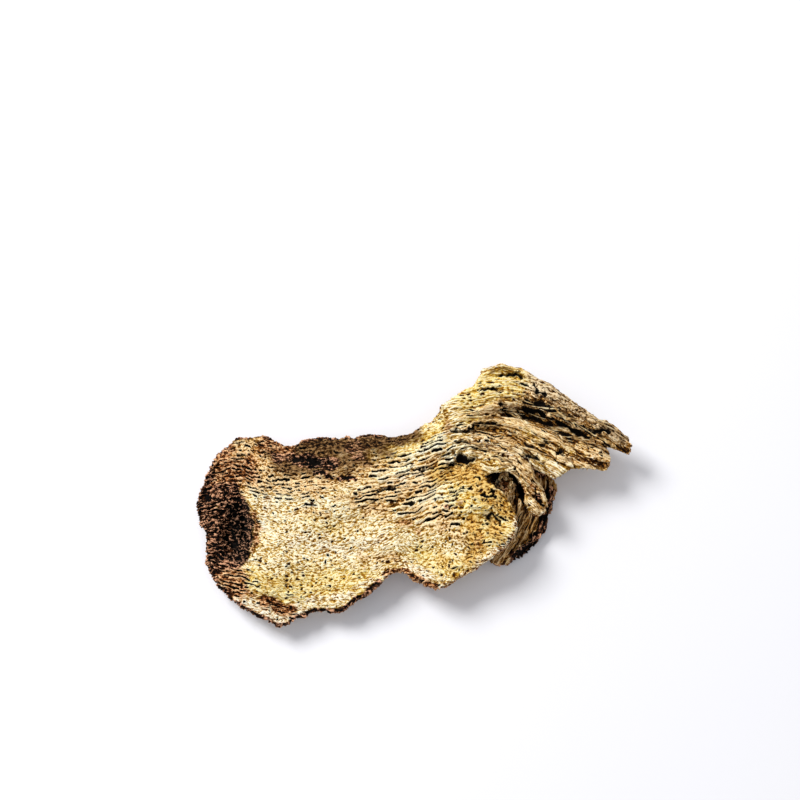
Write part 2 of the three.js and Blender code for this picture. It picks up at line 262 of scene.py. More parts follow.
def read_map(height, points):
    """The height map's value at each point, in millimetres, between its grid points."""
    column = np.clip(points[:, 0] - GRAIN_GRID["left"], 0, GRAIN_GRID["columns"] - 1.001)
    row = np.clip(points[:, 1] - GRAIN_GRID["front"], 0, GRAIN_GRID["rows"] - 1.001)
    i, j = row.astype(int), column.astype(int)
    t, s = row - i, column - j
    lower = height[i, j] * (1 - s) + height[i, j + 1] * s
    upper = height[i + 1, j] * (1 - s) + height[i + 1, j + 1] * s
    return lower * (1 - t) + upper * t


slice_grain = grain_maps(GRAIN_RUNS)
lower_grain = grain_maps(LOWER_GRAIN_RUNS)
print(f"the grain is {np.ptp(slice_grain[0]):.0f} mm long and {np.ptp(slice_grain[1]):.0f} mm wide")

# %% [markdown]
# ## Fine meshes
#
# The solids' facets are a millimetre or more across, too coarse for fibres and specks. Each solid
# is copied and its loose triangles are welded. A voxel remesh then rebuilds it from small, even
# faces, and the faces that look up are subdivided once more. A light smoothing rounds off what is
# left of the facets. Sculpting by hand would do too, but this repeats exactly.
#
# A remesh tears skin that is thinner than its faces. The split root has such skin between its
# strip and its flap, so lumps of tissue are joined to it from below before the remesh.

# %% Helpers for pieces
LOOKS_UP = 0.3


def select_only(piece):
    """Selects one object and makes it the active one."""
    bpy.ops.object.select_all(action="DESELECT")
    piece.select_set(True)
    bpy.context.view_layer.objects.active = piece


def apply_modifier(piece, name, kind, **settings):
    """Adds a modifier to a piece, sets it and applies it."""
    modifier = piece.modifiers.new(name, kind)
    for key, value in settings.items():
        setattr(modifier, key, value)
    select_only(piece)
    bpy.ops.object.modifier_apply(modifier=modifier.name)


def subdivide_top(piece):
    """Cuts each face that looks up in four."""
    select_only(piece)
    bpy.ops.object.mode_set(mode="EDIT")
    bpy.ops.mesh.select_mode(type="FACE")
    bpy.ops.mesh.select_all(action="DESELECT")
    bpy.ops.object.mode_set(mode="OBJECT")
    up = np.empty(len(piece.data.polygons) * 3)
    piece.data.polygons.foreach_get("normal", up)
    piece.data.polygons.foreach_set("select", up.reshape(-1, 3)[:, 2] > LOOKS_UP)
    bpy.ops.object.mode_set(mode="EDIT")
    bpy.ops.mesh.subdivide(number_cuts=1)
    bpy.ops.object.mode_set(mode="OBJECT")


# %% Lumps of tissue, each at its place in millimetres
LUMPS = {
    "split_side_root": [
        (34.2, 10.9, 6.2), (34.9, 10.4, 6.2), (35.6, 10.1, 6.2), (36.2, 9.8, 6.2),
        (36.8, 9.3, 6.1), (17.0, 17.7, 6.4), (17.9, 17.8, 6.7), (18.8, 17.8, 7.0),
        (19.7, 17.8, 7.2), (20.6, 17.8, 7.4), (21.5, 17.7, 7.5), (22.3, 17.6, 7.6),
    ],
}
LUMP_RADIUS = 0.75


def add_lumps(piece, places):
    """Joins a lump at each place to the piece, and the remesh melts them into it."""
    select_only(piece)
    for place in places:
        bpy.ops.mesh.primitive_ico_sphere_add(
            subdivisions=2, radius=LUMP_RADIUS * MM, location=Vector(place) * MM)
        piece.select_set(True)
        bpy.context.view_layer.objects.active = piece
        bpy.ops.object.join()


# %% Copy a solid and refine it
def fine_copy(node, name, face_size, smoothing):
    """A copy of a solid with even faces of the given size in millimetres, half that on top."""
    piece = bpy.data.objects.new(name, frame["nodes"][node].data.copy())
    bpy.context.scene.collection.objects.link(piece)
    piece.data.materials.clear()
    add_lumps(piece, LUMPS.get(node, []))
    select_only(piece)
    bpy.ops.object.mode_set(mode="EDIT")
    bpy.ops.mesh.select_all(action="SELECT")
    bpy.ops.mesh.remove_doubles(threshold=0.001 * MM)
    bpy.ops.object.mode_set(mode="OBJECT")
    apply_modifier(piece, "even faces", "REMESH", mode="VOXEL", voxel_size=face_size * MM)
    apply_modifier(piece, "rounded facets", "SMOOTH", factor=0.5, iterations=smoothing)
    subdivide_top(piece)
    apply_modifier(piece, "even cuts", "SMOOTH", factor=0.5, iterations=2)
    print(f"{name}: {len(piece.data.vertices)} points")
    return piece


def points_of(piece):
    """The piece's points in millimetres, one row each."""
    values = np.empty(len(piece.data.vertices) * 3)
    piece.data.vertices.foreach_get("co", values)
    return values.reshape(-1, 3) / MM


def move_points(piece, points):
    """Puts the piece's points where the rows say, in millimetres."""
    piece.data.vertices.foreach_set("co", (points * MM).ravel())
    piece.data.update()


def normals_of(piece):
    """The way that the surface faces at each point."""
    values = np.empty(len(piece.data.vertices) * 3)
    piece.data.vertex_normals.foreach_get("vector", values)
    return values.reshape(-1, 3)


def paint(piece, name, values):
    """Stores a number or a vector on each of the piece's points."""
    is_vector = values.ndim == 2
    kind = "FLOAT_VECTOR" if is_vector else "FLOAT"
    attribute = piece.data.attributes.new(name, kind, "POINT")
    field = "vector" if is_vector else "value"
    attribute.data.foreach_set(field, values.astype(np.float32).ravel())


# %% [markdown]
# ## Brush strokes
#
# A real slice isn't one colour: the outer layer is yellow, the back edge brown, the crown's bark
# black. Each zone is drawn with a few brush strokes: a path, a radius and a strength. The strokes
# only say where a finish is, and the material frays their edges. The gaping creases and the
# ridges of the side roots are drawn as strokes too, with a depth.

# %% Brush strokes
# each wave of the sway: how far it goes, how fast it turns with x and with y, and its shift
SWAY_X = [(0.22, 0.7, 1.9, 0), (0.12, -2.1, 4.3, 1)]
SWAY_Y = [(0.22, 1.7, -0.8, 2), (0.12, 4.7, 1.9, 0)]


def ease(values, low, high):
    """0 below low and 1 above high, eased between."""
    t = np.clip((values - low) / (high - low), 0, 1)
    return t * t * (3 - 2 * t)


def wandering(points):
    """The points' places in the plane, swayed a little, so that no stroke is drawn with a ruler."""
    x, y = points[:, 0], points[:, 1]
    sway = [sum(reach * np.sin(a * x + b * y + shift) for reach, a, b, shift in waves)
            for waves in (SWAY_X, SWAY_Y)]
    return points[:, :2] + np.stack(sway, axis=1)


def distance_to_path(points, path):
    """The distance in the plane from each point to a path of straight stretches."""
    nearest = np.full(len(points), np.inf)
    for start, end in zip(path, path[1:] or path):
        start, end = np.array(start, float), np.array(end, float)
        along = end - start
        length = max(along @ along, 1e-9)
        t = np.clip((points[:, :2] - start) @ along / length, 0, 1)
        gap = np.linalg.norm(points[:, :2] - start - t[:, None] * along, axis=1)
        nearest = np.minimum(nearest, gap)
    return nearest


def brushed(points, strokes, core=0.1):
    """How strongly the strokes cover each point: fully within their core, less towards the edge."""
    cover = np.zeros(len(points))
    for path, radius, strength in strokes:
        stroke = strength * (1 - ease(distance_to_path(points, path) / radius, core, 1))
        cover = np.maximum(cover, stroke)
    return cover


print(f"a stroke sways by up to {sum(wave[0] for wave in SWAY_X):.2f} mm")

# %% Zones of the body
FRONT_RIM = [(-35, -19.4), (-31, -22), (-26, -24), (-22, -22.8)]
SHORT_CRACK = [(-19.4, 3.9), (-17.6, 4.2), (-15.8, 3)]
BODY_ZONES = {
    "tan": [
        ([(-40, 3), (-37, 7), (-31, 8), (-26, 7), (-22, 4)], 8.0, 1.1),
        ([(-36, 2), (-29, 2.6), (-22, 2)], 4.5, 0.8),
        ([(-27, 5), (-20, 3), (-12, 5), (-5, 8)], 6.5, 0.85),
        ([(-38, -13), (-33, -17), (-29, -18.6)], 5.0, 0.9),
        ([(-10, -1), (-4, 1), (1, 2), (4, 5)], 6.0, 0.75),
        ([(-4, -2), (2, -4), (8, -5)], 4.0, 0.65),
        ([(-9.5, -3), (-6.5, -2.8)], 2.8, 0.8),
        ([(-6, -5), (-2, -5)], 2.2, 0.6),
        ([(-22, -3.4), (-17, -4.2)], 2.0, 0.6),
        ([(-10, -12), (-4, -12.6)], 2.2, 0.6),
        ([(-3, -5), (2, -6), (7, -7), (10, -9)], 3.6, 0.6),
        ([(-16, 0), (-12, -1)], 3.0, 0.5),
    ],
    "yellow": [
        ([(-31, -17), (-26, -18.6), (-20, -18), (-14, -17), (-9, -17.5)], 4.8, 0.95),
        ([(-29, -15), (-20, -14.5), (-12, -13.5)], 3.0, 0.35),
        ([(-20, -5), (-17, -6), (-13, -10)], 3.2, 0.45),
        ([(1, -12), (5, -14), (9, -14)], 4.5, 0.7),
        ([(9, 1), (14, -8), (17, -6)], 7.0, 0.8),
        ([(-8, 8), (-3, 9), (2, 11), (4, 14)], 4.5, 0.65),
    ],
    "ochre": [
        ([(4.5, 4), (8, 4), (11, 3), (13.5, 1.5)], 3.8, 0.95),
        ([(13, 0), (16, -2), (17.5, -4)], 3.4, 0.9),
        ([(11, -6), (12, -10), (10, -13.5)], 3.0, 0.75),
        ([(15, -6), (15.5, -9)], 3.2, 0.7),
        ([(5, -12.5), (7, -14.5)], 2.4, 0.55),
        ([(-28, -17.5), (-22, -17)], 2.4, 0.35),
    ],
    "cream": [
        (FRONT_RIM, 2.8, 0.85),
        ([(-20, -20.6), (-13, -19.6), (-8, -16.6)], 1.6, 0.6),
        ([(19.8, -4), (19.4, -8), (16.8, -11), (12, -14.4), (7.5, -17.6), (4, -18.6)], 1.3, 0.8),
        ([(-2, -13.6), (3, -16.4)], 1.8, 0.6),
        ([(-5, 2), (1, 3.5), (6, 6.8)], 3.0, 0.35),
        ([(-22, -9), (-14, -10.5), (-6, -9.5)], 4.0, 0.5),
        ([(-28, -1.5), (-30, -6)], 2.6, 0.5),
        ([(-37, 11.2), (-33, 12)], 1.3, 0.8),
    ],
    "brown": [
        ([(-27, 9.5), (-20, 9.4), (-13, 10), (-6, 11.4), (-1, 12.8)], 4.6, 1.0),
        ([(-26, 6), (-20, 5.4), (-16.5, 5), (-11, 6.8), (-6, 9)], 4.0, 0.7),
        ([(13.4, -4.6), (16.4, -5.2)], 2.2, 0.45),
    ],
    "russet": [
        ([(-41, 2), (-40, 6), (-38.4, 9)], 5.5, 1.1),
        ([(-38, 1), (-36, 4), (-33, 5)], 5.0, 0.9),
        ([(-30, 9.6), (-28, 11), (-25, 9.4)], 2.6, 0.8),
        ([(-38.6, -14.4), (-36, -16.6), (-33.6, -18.6)], 3.2, 0.95),
        ([(-34, -15), (-32.6, -16.6)], 2.4, 0.6),
        ([(-30.8, -3.6), (-30.5, -7), (-30.8, -11)], 1.2, 0.7),
        ([(-28.6, -20.6), (-26, -21.6), (-23.6, -22.5)], 1.8, 1.0),
        ([(-31, -19.4)], 1.6, 0.55),
        ([(-1.6, -5.6), (0.6, -7.4)], 2.0, 0.5),
        ([(-3.4, -15.6), (0, -16.6), (3.2, -18.4)], 0.9, 1.0),
        ([(12, -9.6), (13.6, -12)], 1.6, 0.4),
        ([(6.2, 15.5), (6.6, 11)], 1.4, 0.45),
    ],
    "bark": [
        ([(-41.5, -2), (-40.5, -5), (-38.8, -9), (-38.4, -12)], 4.2, 1.2),
        ([(-39.5, 0), (-36, 0.4)], 2.8, 1.0),
        ([(-41, 1), (-40.4, 4)], 1.6, 0.9),
        ([(-35.5, -2), (-35, -7), (-35, -12)], 3.6, 1.2),
        ([(-21.5, 6.8), (-18.5, 6.4), (-16, 6.2)], 2.0, 0.8),
        ([(-27, 7.4), (-22, 7.2)], 1.3, 0.5),
        ([(-12, 9.5), (-9, 7)], 2.6, 0.4),
        (SHORT_CRACK, 0.7, 0.7),
        ([(-14.4, 2.9), (-13.2, 3.4), (-11.8, 2.8)], 0.6, 0.8),
        ([(6, -2.8)], 0.7, 0.8),
    ],
    # near black over the crown's hollow, partly its own dark tissue and partly painted shade, and
    # painted shade in the pit at the back edge
    "rot": [
        ([(-33.9, -3.6), (-33.3, -6), (-33.3, -9), (-33.8, -11.4)], 2.9, 1.2),
        ([(-20.4, 6.7), (-18.6, 6.4)], 1.2, 0.9),
    ],
    "open": [
        ([(-2.5, 5), (0, 5), (2.5, 6.5), (5, 8.4), (9, 9.6)], 4.4, 1.3),
        ([(-10, -0.6), (-7, 1), (-4.5, 1.4)], 3.0, 1.2),
        ([(-4, -1.6), (-1, -2.6), (2.5, -4.4)], 3.2, 1.25),
        ([(-6, 2.4), (0, 1), (5, 0)], 4.2, 1.15),
        ([(3, -1), (8, -4), (9, -6.5)], 3.2, 0.95),
        ([(10, 2), (14, -1), (15, -8)], 4.5, 0.5),
    ],
    "nicked": [
        ([(-38, 4), (-32, 3), (-26, 2.4), (-21, 1.6)], 5.2, 1.15),
        ([(-38, 8), (-33, 9), (-28, 9)], 3.4, 0.95),
        ([(-41, 3), (-41, -2), (-39, -8), (-38, -14), (-33, -18)], 4.4, 1.15),
        ([(-36, 0), (-34, -6), (-35, -12)], 4.0, 0.7),
        ([(-14, 7), (-4, 8)], 3.4, 0.6),
        ([(8, 1), (14, -2), (13, -10)], 4.4, 0.3),
        (FRONT_RIM, 2.6, 0.6),
        ([(-24, -3), (-18, -2)], 2.5, 0.5),
    ],
}
BODY_EDGES = {
    "bark": [
        ([(-41.5, -6), (-40, -13), (-35, -19.6), (-30, -23.2), (-25, -25.4)], 1.9, 0.9),
        ([(-25, -25.4), (-21, -23.4), (-16, -22.6), (-12, -21.2), (-7.6, -17.6)], 1.9, 0.9),
        ([(-41, 3), (-37, 10), (-29, 12.6), (-20, 12), (-8, 12.6)], 2.0, 0.7),
    ],
    "russet": [([(-6, -15.4), (-4, -14.8), (-1, -15.8), (1.4, -17.2), (3.6, -18.6)], 1.1, 1.0)],
}
print("strokes on the body:", sum(map(len, BODY_ZONES.values())))

# %% Zones of the side roots
SPLIT_ZONES = {
    "tan": [
        ([(12, 13), (17, 14), (24, 12), (31, 9), (38, 8)], 8.0, 1.2),
        ([(22, 20), (30, 16), (40, 10)], 6.0, 1.2),
    ],
    "yellow": [
        ([(9, 18), (14, 21), (19, 21)], 5.5, 0.95),
        ([(12, 13.6), (18, 13), (26, 9), (32, 8)], 3.0, 0.35),
        ([(8, 13.4), (12, 14.6)], 2.2, 0.7),
    ],
    "cream": [
        ([(12.6, 23.4), (14, 25), (17, 25.4)], 1.2, 0.7),
        ([(26, 3), (27.4, 4.8)], 2.0, 0.7),
        ([(20, 8.4), (23, 6), (26, 3.4)], 0.9, 0.4),
        ([(30, 6.4), (34, 6), (37, 5.4)], 1.4, 0.4),
    ],
    "brown": [
        ([(20, 14.4), (24, 13.6), (28, 11.6)], 1.3, 0.35),
        ([(12, 13), (16, 13.4)], 1.2, 0.5),
        ([(19, 17.4), (24, 16.4), (28, 14.8)], 1.0, 0.6),
        ([(36, 12.6), (40, 10.4)], 1.6, 0.5),
        ([(15, 23.6), (19, 24)], 1.4, 0.5),
    ],
    "dusty": [
        ([(22, 21), (26, 19.6), (31, 17), (35, 14.6)], 3.6, 1.1),
        ([(36, 12.6), (40, 10.4)], 2.4, 0.8),
    ],
    "open": [([(8, 14), (16, 14)], 4.0, 0.45), ([(20, 20), (28, 17)], 3.0, 0.4)],
}
CURL_ZONES = {
    "tan": [([(14, 10), (18, 7), (22, 3), (24, -3)], 4.5, 0.9), ([(10, 11), (14, 10)], 1.6, 0.6)],
    "yellow": [([(9, 7.6), (12, 7), (16, 6)], 2.2, 0.6)],
    "ochre": [([(9, 6.8), (12, 5.6)], 1.6, 0.5)],
    "cream": [
        ([(8.5, 10.4), (12, 9.6), (15.5, 8.4), (18.6, 6.4)], 2.0, 0.5),
        ([(21.8, -1.7), (22.1, -2.4)], 0.9, 0.7),
        ([(22.4, -3.6), (23.8, -4.8), (25.2, -3)], 0.7, 0.5),
        ([(21.6, 4.6), (23.6, 1.6), (25, -1)], 0.6, 0.4),
    ],
    "russet": [([(22.4, 1), (23.6, -2)], 1.6, 0.5), ([(19, 9.2), (22, 7)], 1.0, 0.5)],
    "bark": [([(23.6, -1.0), (24.3, -2.4)], 0.5, 0.9)],
    "open": [([(12, 8), (18, 6)], 3.0, 0.4)],
}
LOWER_RUN = [(10, 10), (20, 6), (24, 0), (20, -8), (16, -13)]
LOWER_STRAND = [(17.9, -12.9), (19.6, -10.4), (21.5, -9.2), (23.2, -7.9)]
HOLE_SIDE = [(14.2, 1.6), (14.4, 2.8), (15.4, 3.9), (16.6, 4.6)]
LOWER_ZONES = {
    "tan": [(LOWER_RUN, 14.0, 1.8)],
    "brown": [(LOWER_RUN, 14.0, 0.45)],
    "straw": [
        ([(17.2, 2.2)], 1.7, 0.8),
        ([(15.7, 2.6), (16.3, 3.3), (17.3, 3.8), (18.3, 3.1), (18.6, 2.2)], 1.2, 1.6),
        (LOWER_STRAND, 0.6, 0.9),
    ],
    "russet": [([(23.2, -8.3), (23, -10.8)], 1.3, 0.9), ([(17.2, 2.2), (17.6, 1.2)], 1.0, 0.9)],
    "bark": [
        ([(26.6, 1), (26, -2), (25.4, -5.3), (24.4, -7.9), (21.5, -10.4), (19.3, -12)], 1.5, 1.1),
        ([(21, 8), (25, 5)], 2.0, 0.7),
    ],
    # painted shade: near black in the holes beside the lip and right of it
    "rot": [
        (HOLE_SIDE, 1.0, 1.2),
        ([(14.2, 1.6), (15.5, 1.2), (17.0, 0.4)], 0.6, 1.1),
        ([(18.8, 4.4), (19.6, 3.2), (20.2, 2.0), (21, 0.4), (21.4, -0.6)], 1.0, 1.2),
    ],
}
ROOT_ZONES = (SPLIT_ZONES, CURL_ZONES, LOWER_ZONES)
print("strokes on the side roots:", [sum(map(len, zones.values())) for zones in ROOT_ZONES])

# %% Creases and ridges, each with its radius and its depth or height in millimetres
# The creases are carved. Their floors, and the walls that they undercut, also get a painted shade
# of near black.
ARCH_CREASES = [
    ([(7.0, 5.8), (8.4, 6.1), (11.3, 6.2)], 0.7, 1.6),
    ([(8.5, 6.6), (9.4, 6.9), (10.0, 6.6)], 0.9, 1.6),
]
BODY_CREASES = ARCH_CREASES + [
    ([(-6.9, 0.3), (-5.4, 0.6), (-3.9, 1.1)], 0.5, 1.0),
    ([(0.2, 4.4), (3.4, 4.6)], 0.35, 0.9),
    (SHORT_CRACK, 0.4, 0.5),
    ([(-20.6, 6.9), (-19.6, 6.4), (-18.8, 6.5)], 0.8, 0.7),
    ([(-23.4, 7.2), (-22.6, 7.0)], 0.7, 0.5),
    ([(-16.6, 6.6), (-15.8, 6.0)], 0.6, 0.5),
    ([(14.0, -5.4), (14.4, -4.7), (15.2, -4.4), (16, -4.9), (16.3, -5.8), (16.1, -6.8)], 0.36, 0.6),
]
SPLIT_CREASES = [
    ([(21.6, 17.0), (24.4, 16.3), (26.6, 15.3), (29.1, 13.9), (31.6, 12.2), (33, 11.4)], 1.15, 1.5),
    ([(16.9, 16.8), (17.7, 16.4), (19.2, 15.4)], 0.9, 1.6),
    ([(20.1, 16.5), (21.4, 15.1), (23.5, 14.8), (25.1, 14.3), (26.7, 13.2)], 0.45, 1.0),
    ([(25.1, 14.2), (26.7, 13.0), (28.8, 11.5), (30.3, 10.7)], 0.45, 0.9),
    ([(34.0, 11.1), (35.3, 11.7), (37.5, 11.5)], 0.6, 0.9),
    ([(33.2, 9.8), (34.5, 8.7), (35.5, 8.3)], 0.35, 0.8),
    ([(35.4, 10.3), (36.9, 9.3), (37.9, 8.3), (38.7, 7.3)], 0.35, 0.2),
    ([(7.0, 11.9), (9.4, 11.8), (11.3, 12.5), (12.9, 13.6), (15.5, 13.3)], 0.4, 0.9),
    ([(25.0, 10.6), (25.5, 9.8), (24.4, 8.7)], 0.35, 0.7),
    ([(28.3, 7.9), (27.5, 6.8), (27.0, 5.7)], 0.4, 0.8),
    ([(21.5, 9.4), (23.3, 8.8)], 0.3, 0.6),
    ([(20.2, 8.1), (22.2, 6.8), (24.9, 5.7)], 0.3, 0.7),
    ([(15.8, 22.5), (17.9, 23.0), (19.0, 22.8), (20.9, 22.5)], 0.4, 0.9),
    ([(13.0, 20.0), (15.3, 20.1), (16.8, 19.5)], 0.35, 0.7),
    ([(23.0, 20.5), (23.8, 19.4), (25.6, 18.3)], 0.4, 0.7),
]
SPLIT_RIDGES = [
    ([(17.9, 16.5), (18.9, 15.8), (19.7, 14.7)], 0.45, 0.25),
    ([(19.2, 16.3), (20.5, 14.4), (22.3, 13.5), (23.4, 13.3)], 0.35, 0.2),
    ([(12.8, 14.8), (15.2, 15.3), (17.6, 16.9), (20.8, 17.3), (22.9, 17.0)], 0.45, 0.2),
    ([(7.3, 12.5), (10.5, 12.7), (12.3, 14.0), (15.3, 14.2)], 0.4, 0.2),
    ([(17.8, 9.5), (20.2, 8.4), (22.7, 5.9), (25.6, 3.2)], 0.45, 0.2),
    ([(19.4, 9.6), (22.4, 7.8), (25.6, 5.2)], 0.4, 0.15),
    ([(26.0, 16.2), (29.6, 14.0), (32.6, 11.6)], 0.4, 0.17),
    ([(36.4, 10.0), (38.6, 8.4)], 0.5, 0.15),
]
CURL_CREASES = ARCH_CREASES + [
    ([(8.0, 10.0), (9.9, 9.5), (11.7, 8.4), (13.5, 7.7)], 0.35, 0.9),
    ([(12.4, 10.2), (15.4, 9.4), (18.2, 7.4), (20.2, 5.2)], 0.3, 0.7),
    ([(14.6, 6.6), (17.4, 5.6), (19.6, 3.8), (21, 1.6)], 0.3, 0.7),
    ([(22.6, 0.6), (23.6, -1.2), (24.2, -2.6)], 0.35, 0.7),
]
CURL_RIDGES = [
    ([(8.6, 10.6), (11.8, 9.4), (14.6, 8.6), (17.6, 6.6), (20.4, 4.0)], 0.4, 0.2),
    ([(9, 8.4), (12.6, 7.2), (16.4, 5.6), (19.8, 3.0), (21.4, 0.6)], 0.4, 0.2),
    ([(14, 9.8), (17.4, 8.4), (20.4, 6.4), (22.2, 3.6), (23.8, 0.8)], 0.4, 0.17),
]
LOWER_CREASES = [
    (HOLE_SIDE, 1.0, 2.2),
    ([(18.8, 4.4), (19.6, 3.2), (20.2, 2.0), (21, 0.4)], 1.0, 1.8),
    ([(22.6, -9.6), (20.6, -10.6), (19.4, -12)], 0.7, 1.0),
]
LIP = [(15.6, 1.8), (15.7, 2.7), (16.3, 3.5), (17.3, 3.9), (18.3, 3.3), (18.7, 2.3), (18.5, 1.6)]
LOWER_RIDGES = [
    (LIP, 1.0, 1.4),
    (LOWER_STRAND, 0.6, 0.6),
]
print("deepest crease:", max(depth for _, _, depth in BODY_CREASES + LOWER_CREASES), "mm")

# %% [markdown]
# ## Relief along the grain
#
# The same patterns carve the mesh and colour the material, so that a dark slit is also a real
# slit. They are built by one set of functions, first in a mesh tree and then in each material,
# from the coordinates that run along and across the grain. Their sizes come from the real root:
# fibres about half a millimetre apart, slits a few millimetres long and up to half a millimetre
# wide, and oil pores about half a millimetre across.

# %% Sizes of the grain
# how noise sways the place that a pattern is read at: what it adds to, its scale per millimetre,
# its octaves and how far it goes at most along and across the grain
SWAYS = {
    "swayed": ("flow", 0.2, 2, (2.4, 1.7, 0)),
    "frayed": ("swayed", 1.5, 2, (0.8, 0.55, 0)),
    "jagged": ("swayed", 0.5, 4, (1.3, 1.5, 0)),
}

# for each pattern: its place, its cell in millimetres along, across and up, its octaves, its
# roughness, and how wide its valleys gape. None is a soft swell, and a number gives rounded
# folds with sharp valleys between.
NOISES = {
    "ridge": ("swayed", (8, 1.6, 5), 2, 0.5, None),
    "fibre": ("swayed", (2.8, 0.5, 1.5), 2, 0.6, 0.12),
    "fleck": ("frayed", (0.62, 0.24, 0.3), 2, 0.65, None),
    "striation": ("swayed", (5.0, 0.23, 0.7), 2, 0.65, None),
    "crumb": ("frayed", (0.9, 0.42, 0.6), 3, 0.65, None),
    "net": ("frayed", (2.3, 0.85, 1.0), 1, 0.5, 0.10),
    "fold": ("swayed", (14, 1.9, 5), 1, 0.45, 0.12),
    "patch": ("frayed", (3.2, 2.0, 3), 4, 0.65, None),
}

# Where the root shrank, slits opened between its fibres, in rows. For each zone that has them: how
# long a slit and its wall are together, how far the rows lie apart, and how much a row may rise.
SLIT_ROWS = {"open": (2.6, 0.78, 0.8), "nicked": (1.7, 0.72, 0.4), "split": (7.0, 0.8, 0.4)}
ROW_SEED = 7.3
ROW_EDGE = 0.25
SLIT_CHANCE = {"noise": 5.0, "zone": 0.9, "start": -3.4}
WIDEST_GAPE = 0.3
SLIT_FORMS = {"slit": (0.0, 0.1), "wall": (-0.32, -0.02)}

# Oil pores are round, and most of them lie where the wood is yellow or ochre.
PORE_CELL = (1.0, 0.66, 1)
PORE_ZONES = {"yellow": 0.25, "ochre": 0.4}
PORES_ANYWHERE = 0.10
PORE_RADIUS = (0.12, 0.3)
PORE_EDGE = 0.1
print("patterns:", len(NOISES), "noises,", len(SLIT_ROWS), "kinds of slit, and pores")


# %% Read what was painted, and add up
def painted(tree, name, is_vector=False):
    """What the points carry under this name, read in a mesh tree or in a material."""
    if tree.bl_idname == "GeometryNodeTree":
        kind = "FLOAT_VECTOR" if is_vector else "FLOAT"
        node = add(tree, "GeometryNodeInputNamedAttribute", {"Name": name}, data_type=kind)
        return node.outputs[0]
    node = add(tree, "ShaderNodeAttribute", {}, attribute_name=name)
    return node.outputs["Vector" if is_vector else "Fac"]


def summed(tree, terms, start=0.0):
    """The sum of the terms, each a value and its weight."""
    total = start
    for value, weight in terms:
        inputs = {0: value, 1: weight, 2: total}
        total = add(tree, MATH, inputs, operation="MULTIPLY_ADD").outputs[0]
    return total


# %% Noise patterns
def noise_parts(tree, places):
    """The soft swells and the folds, as sockets that run from 0 to 1."""
    parts = {}
    for name, (place, cell, octaves, roughness, valley) in NOISES.items():
        cells = add(tree, VECTOR, {0: places[place], 1: cell}, operation="DIVIDE")
        inputs = {"Vector": cells, "Scale": 1, "Detail": octaves, "Roughness": roughness}
        parts[name] = add(tree, NOISE, inputs).outputs[0]
        if valley:
            middle = add(tree, MATH, {0: parts[name], 1: 0.5}, operation="SUBTRACT")
            middle = add(tree, MATH, {0: middle}, operation="ABSOLUTE")
            parts[name] = add(tree, RANGE, {0: middle, 2: valley}).outputs[0]
    return parts


# %% Rows of slits
def slit_parts(tree, jagged):
    """The slits, the walls beside them and the rows that they lie in."""
    parts = {"slit": 0, "wall": 0, "row": 0}
    for zone, (length, spacing, highest) in SLIT_ROWS.items():
        cells = add(tree, VECTOR, {0: jagged, 1: (length, spacing, 1)}, operation="DIVIDE")
        place = add(tree, "ShaderNodeSeparateXYZ", {0: cells})
        across = add(tree, MATH, {0: place.outputs[1]}, operation="FRACT")
        across = add(tree, MATH, {0: across, 1: 0.5}, operation="SUBTRACT")
        across = add(tree, MATH, {0: across}, operation="ABSOLUTE")
        line = add(tree, MATH, {0: across, 1: ROW_EDGE}, operation="SUBTRACT")
        cover = painted(tree, zone)
        strength = add(tree, MATH, {0: cover, 1: highest}, operation="MINIMUM")
        parts["row"] = summed(tree, [(line, strength)], parts["row"])

        row = add(tree, MATH, {0: place.outputs[1]}, operation="FLOOR")
        seed = add(tree, MATH, {0: row, 1: ROW_SEED}, operation="MULTIPLY")
        spot = add(tree, "ShaderNodeCombineXYZ", {0: place, 1: seed})
        chance = add(tree, NOISE, {"Vector": spot, "Scale": 1, "Detail": 1})
        terms = [(chance, SLIT_CHANCE["noise"]), (cover, SLIT_CHANCE["zone"])]
        gape = summed(tree, terms, SLIT_CHANCE["start"])
        gape = add(tree, MATH, {0: gape, 1: WIDEST_GAPE}, operation="MINIMUM")
        inside = add(tree, MATH, {0: gape, 1: across}, operation="SUBTRACT")
        for form, (low, high) in SLIT_FORMS.items():
            shape = add(tree, RANGE, {0: inside, 1: low, 2: high}, interpolation_type="SMOOTHSTEP")
            most = add(tree, MATH, {0: shape, 1: parts[form]}, operation="MAXIMUM")
            parts[form] = most.outputs[0]
    return parts


# %% Oil pores
def pore_part(tree, frayed):
    """Round pores, 1 inside each and 0 around it."""
    cells = add(tree, VECTOR, {0: frayed, 1: PORE_CELL}, operation="DIVIDE")
    inputs = {"Vector": cells, "Scale": 1}
    speck = add(tree, "ShaderNodeTexVoronoi", inputs, voronoi_dimensions="2D")
    random = add(tree, "ShaderNodeSeparateXYZ", {0: speck.outputs["Color"]})
    terms = [(painted(tree, zone), more) for zone, more in PORE_ZONES.items()]
    oily = summed(tree, terms + [(random, -1)], PORES_ANYWHERE)
    is_pore = add(tree, MATH, {0: oily, 1: 0}, operation="GREATER_THAN")
    smallest, more = PORE_RADIUS
    reach = summed(tree, [(random.outputs[1], more), (speck.outputs["Distance"], -1)], smallest)
    dot = add(tree, RANGE, {0: reach, 1: 0.0, 2: PORE_EDGE}, interpolation_type="SMOOTHSTEP")
    return add(tree, MATH, {0: dot, 1: is_pore}, operation="MULTIPLY").outputs[0]


# %% All the parts of the relief
def grain_pattern(tree):
    """The parts of the relief, as sockets."""
    places = {"flow": painted(tree, "flow", is_vector=True)}
    for name, (ground, scale, octaves, reach) in SWAYS.items():
        noise = add(tree, NOISE, {"Vector": places["flow"], "Scale": scale, "Detail": octaves})
        inputs = {0: noise.outputs["Color"], 1: reach, 2: places[ground]}
        places[name] = add(tree, VECTOR, inputs, operation="MULTIPLY_ADD")
    parts = noise_parts(tree, places)
    parts.update(slit_parts(tree, places["jagged"]))
    parts["pore"] = pore_part(tree, places["frayed"])
    return parts


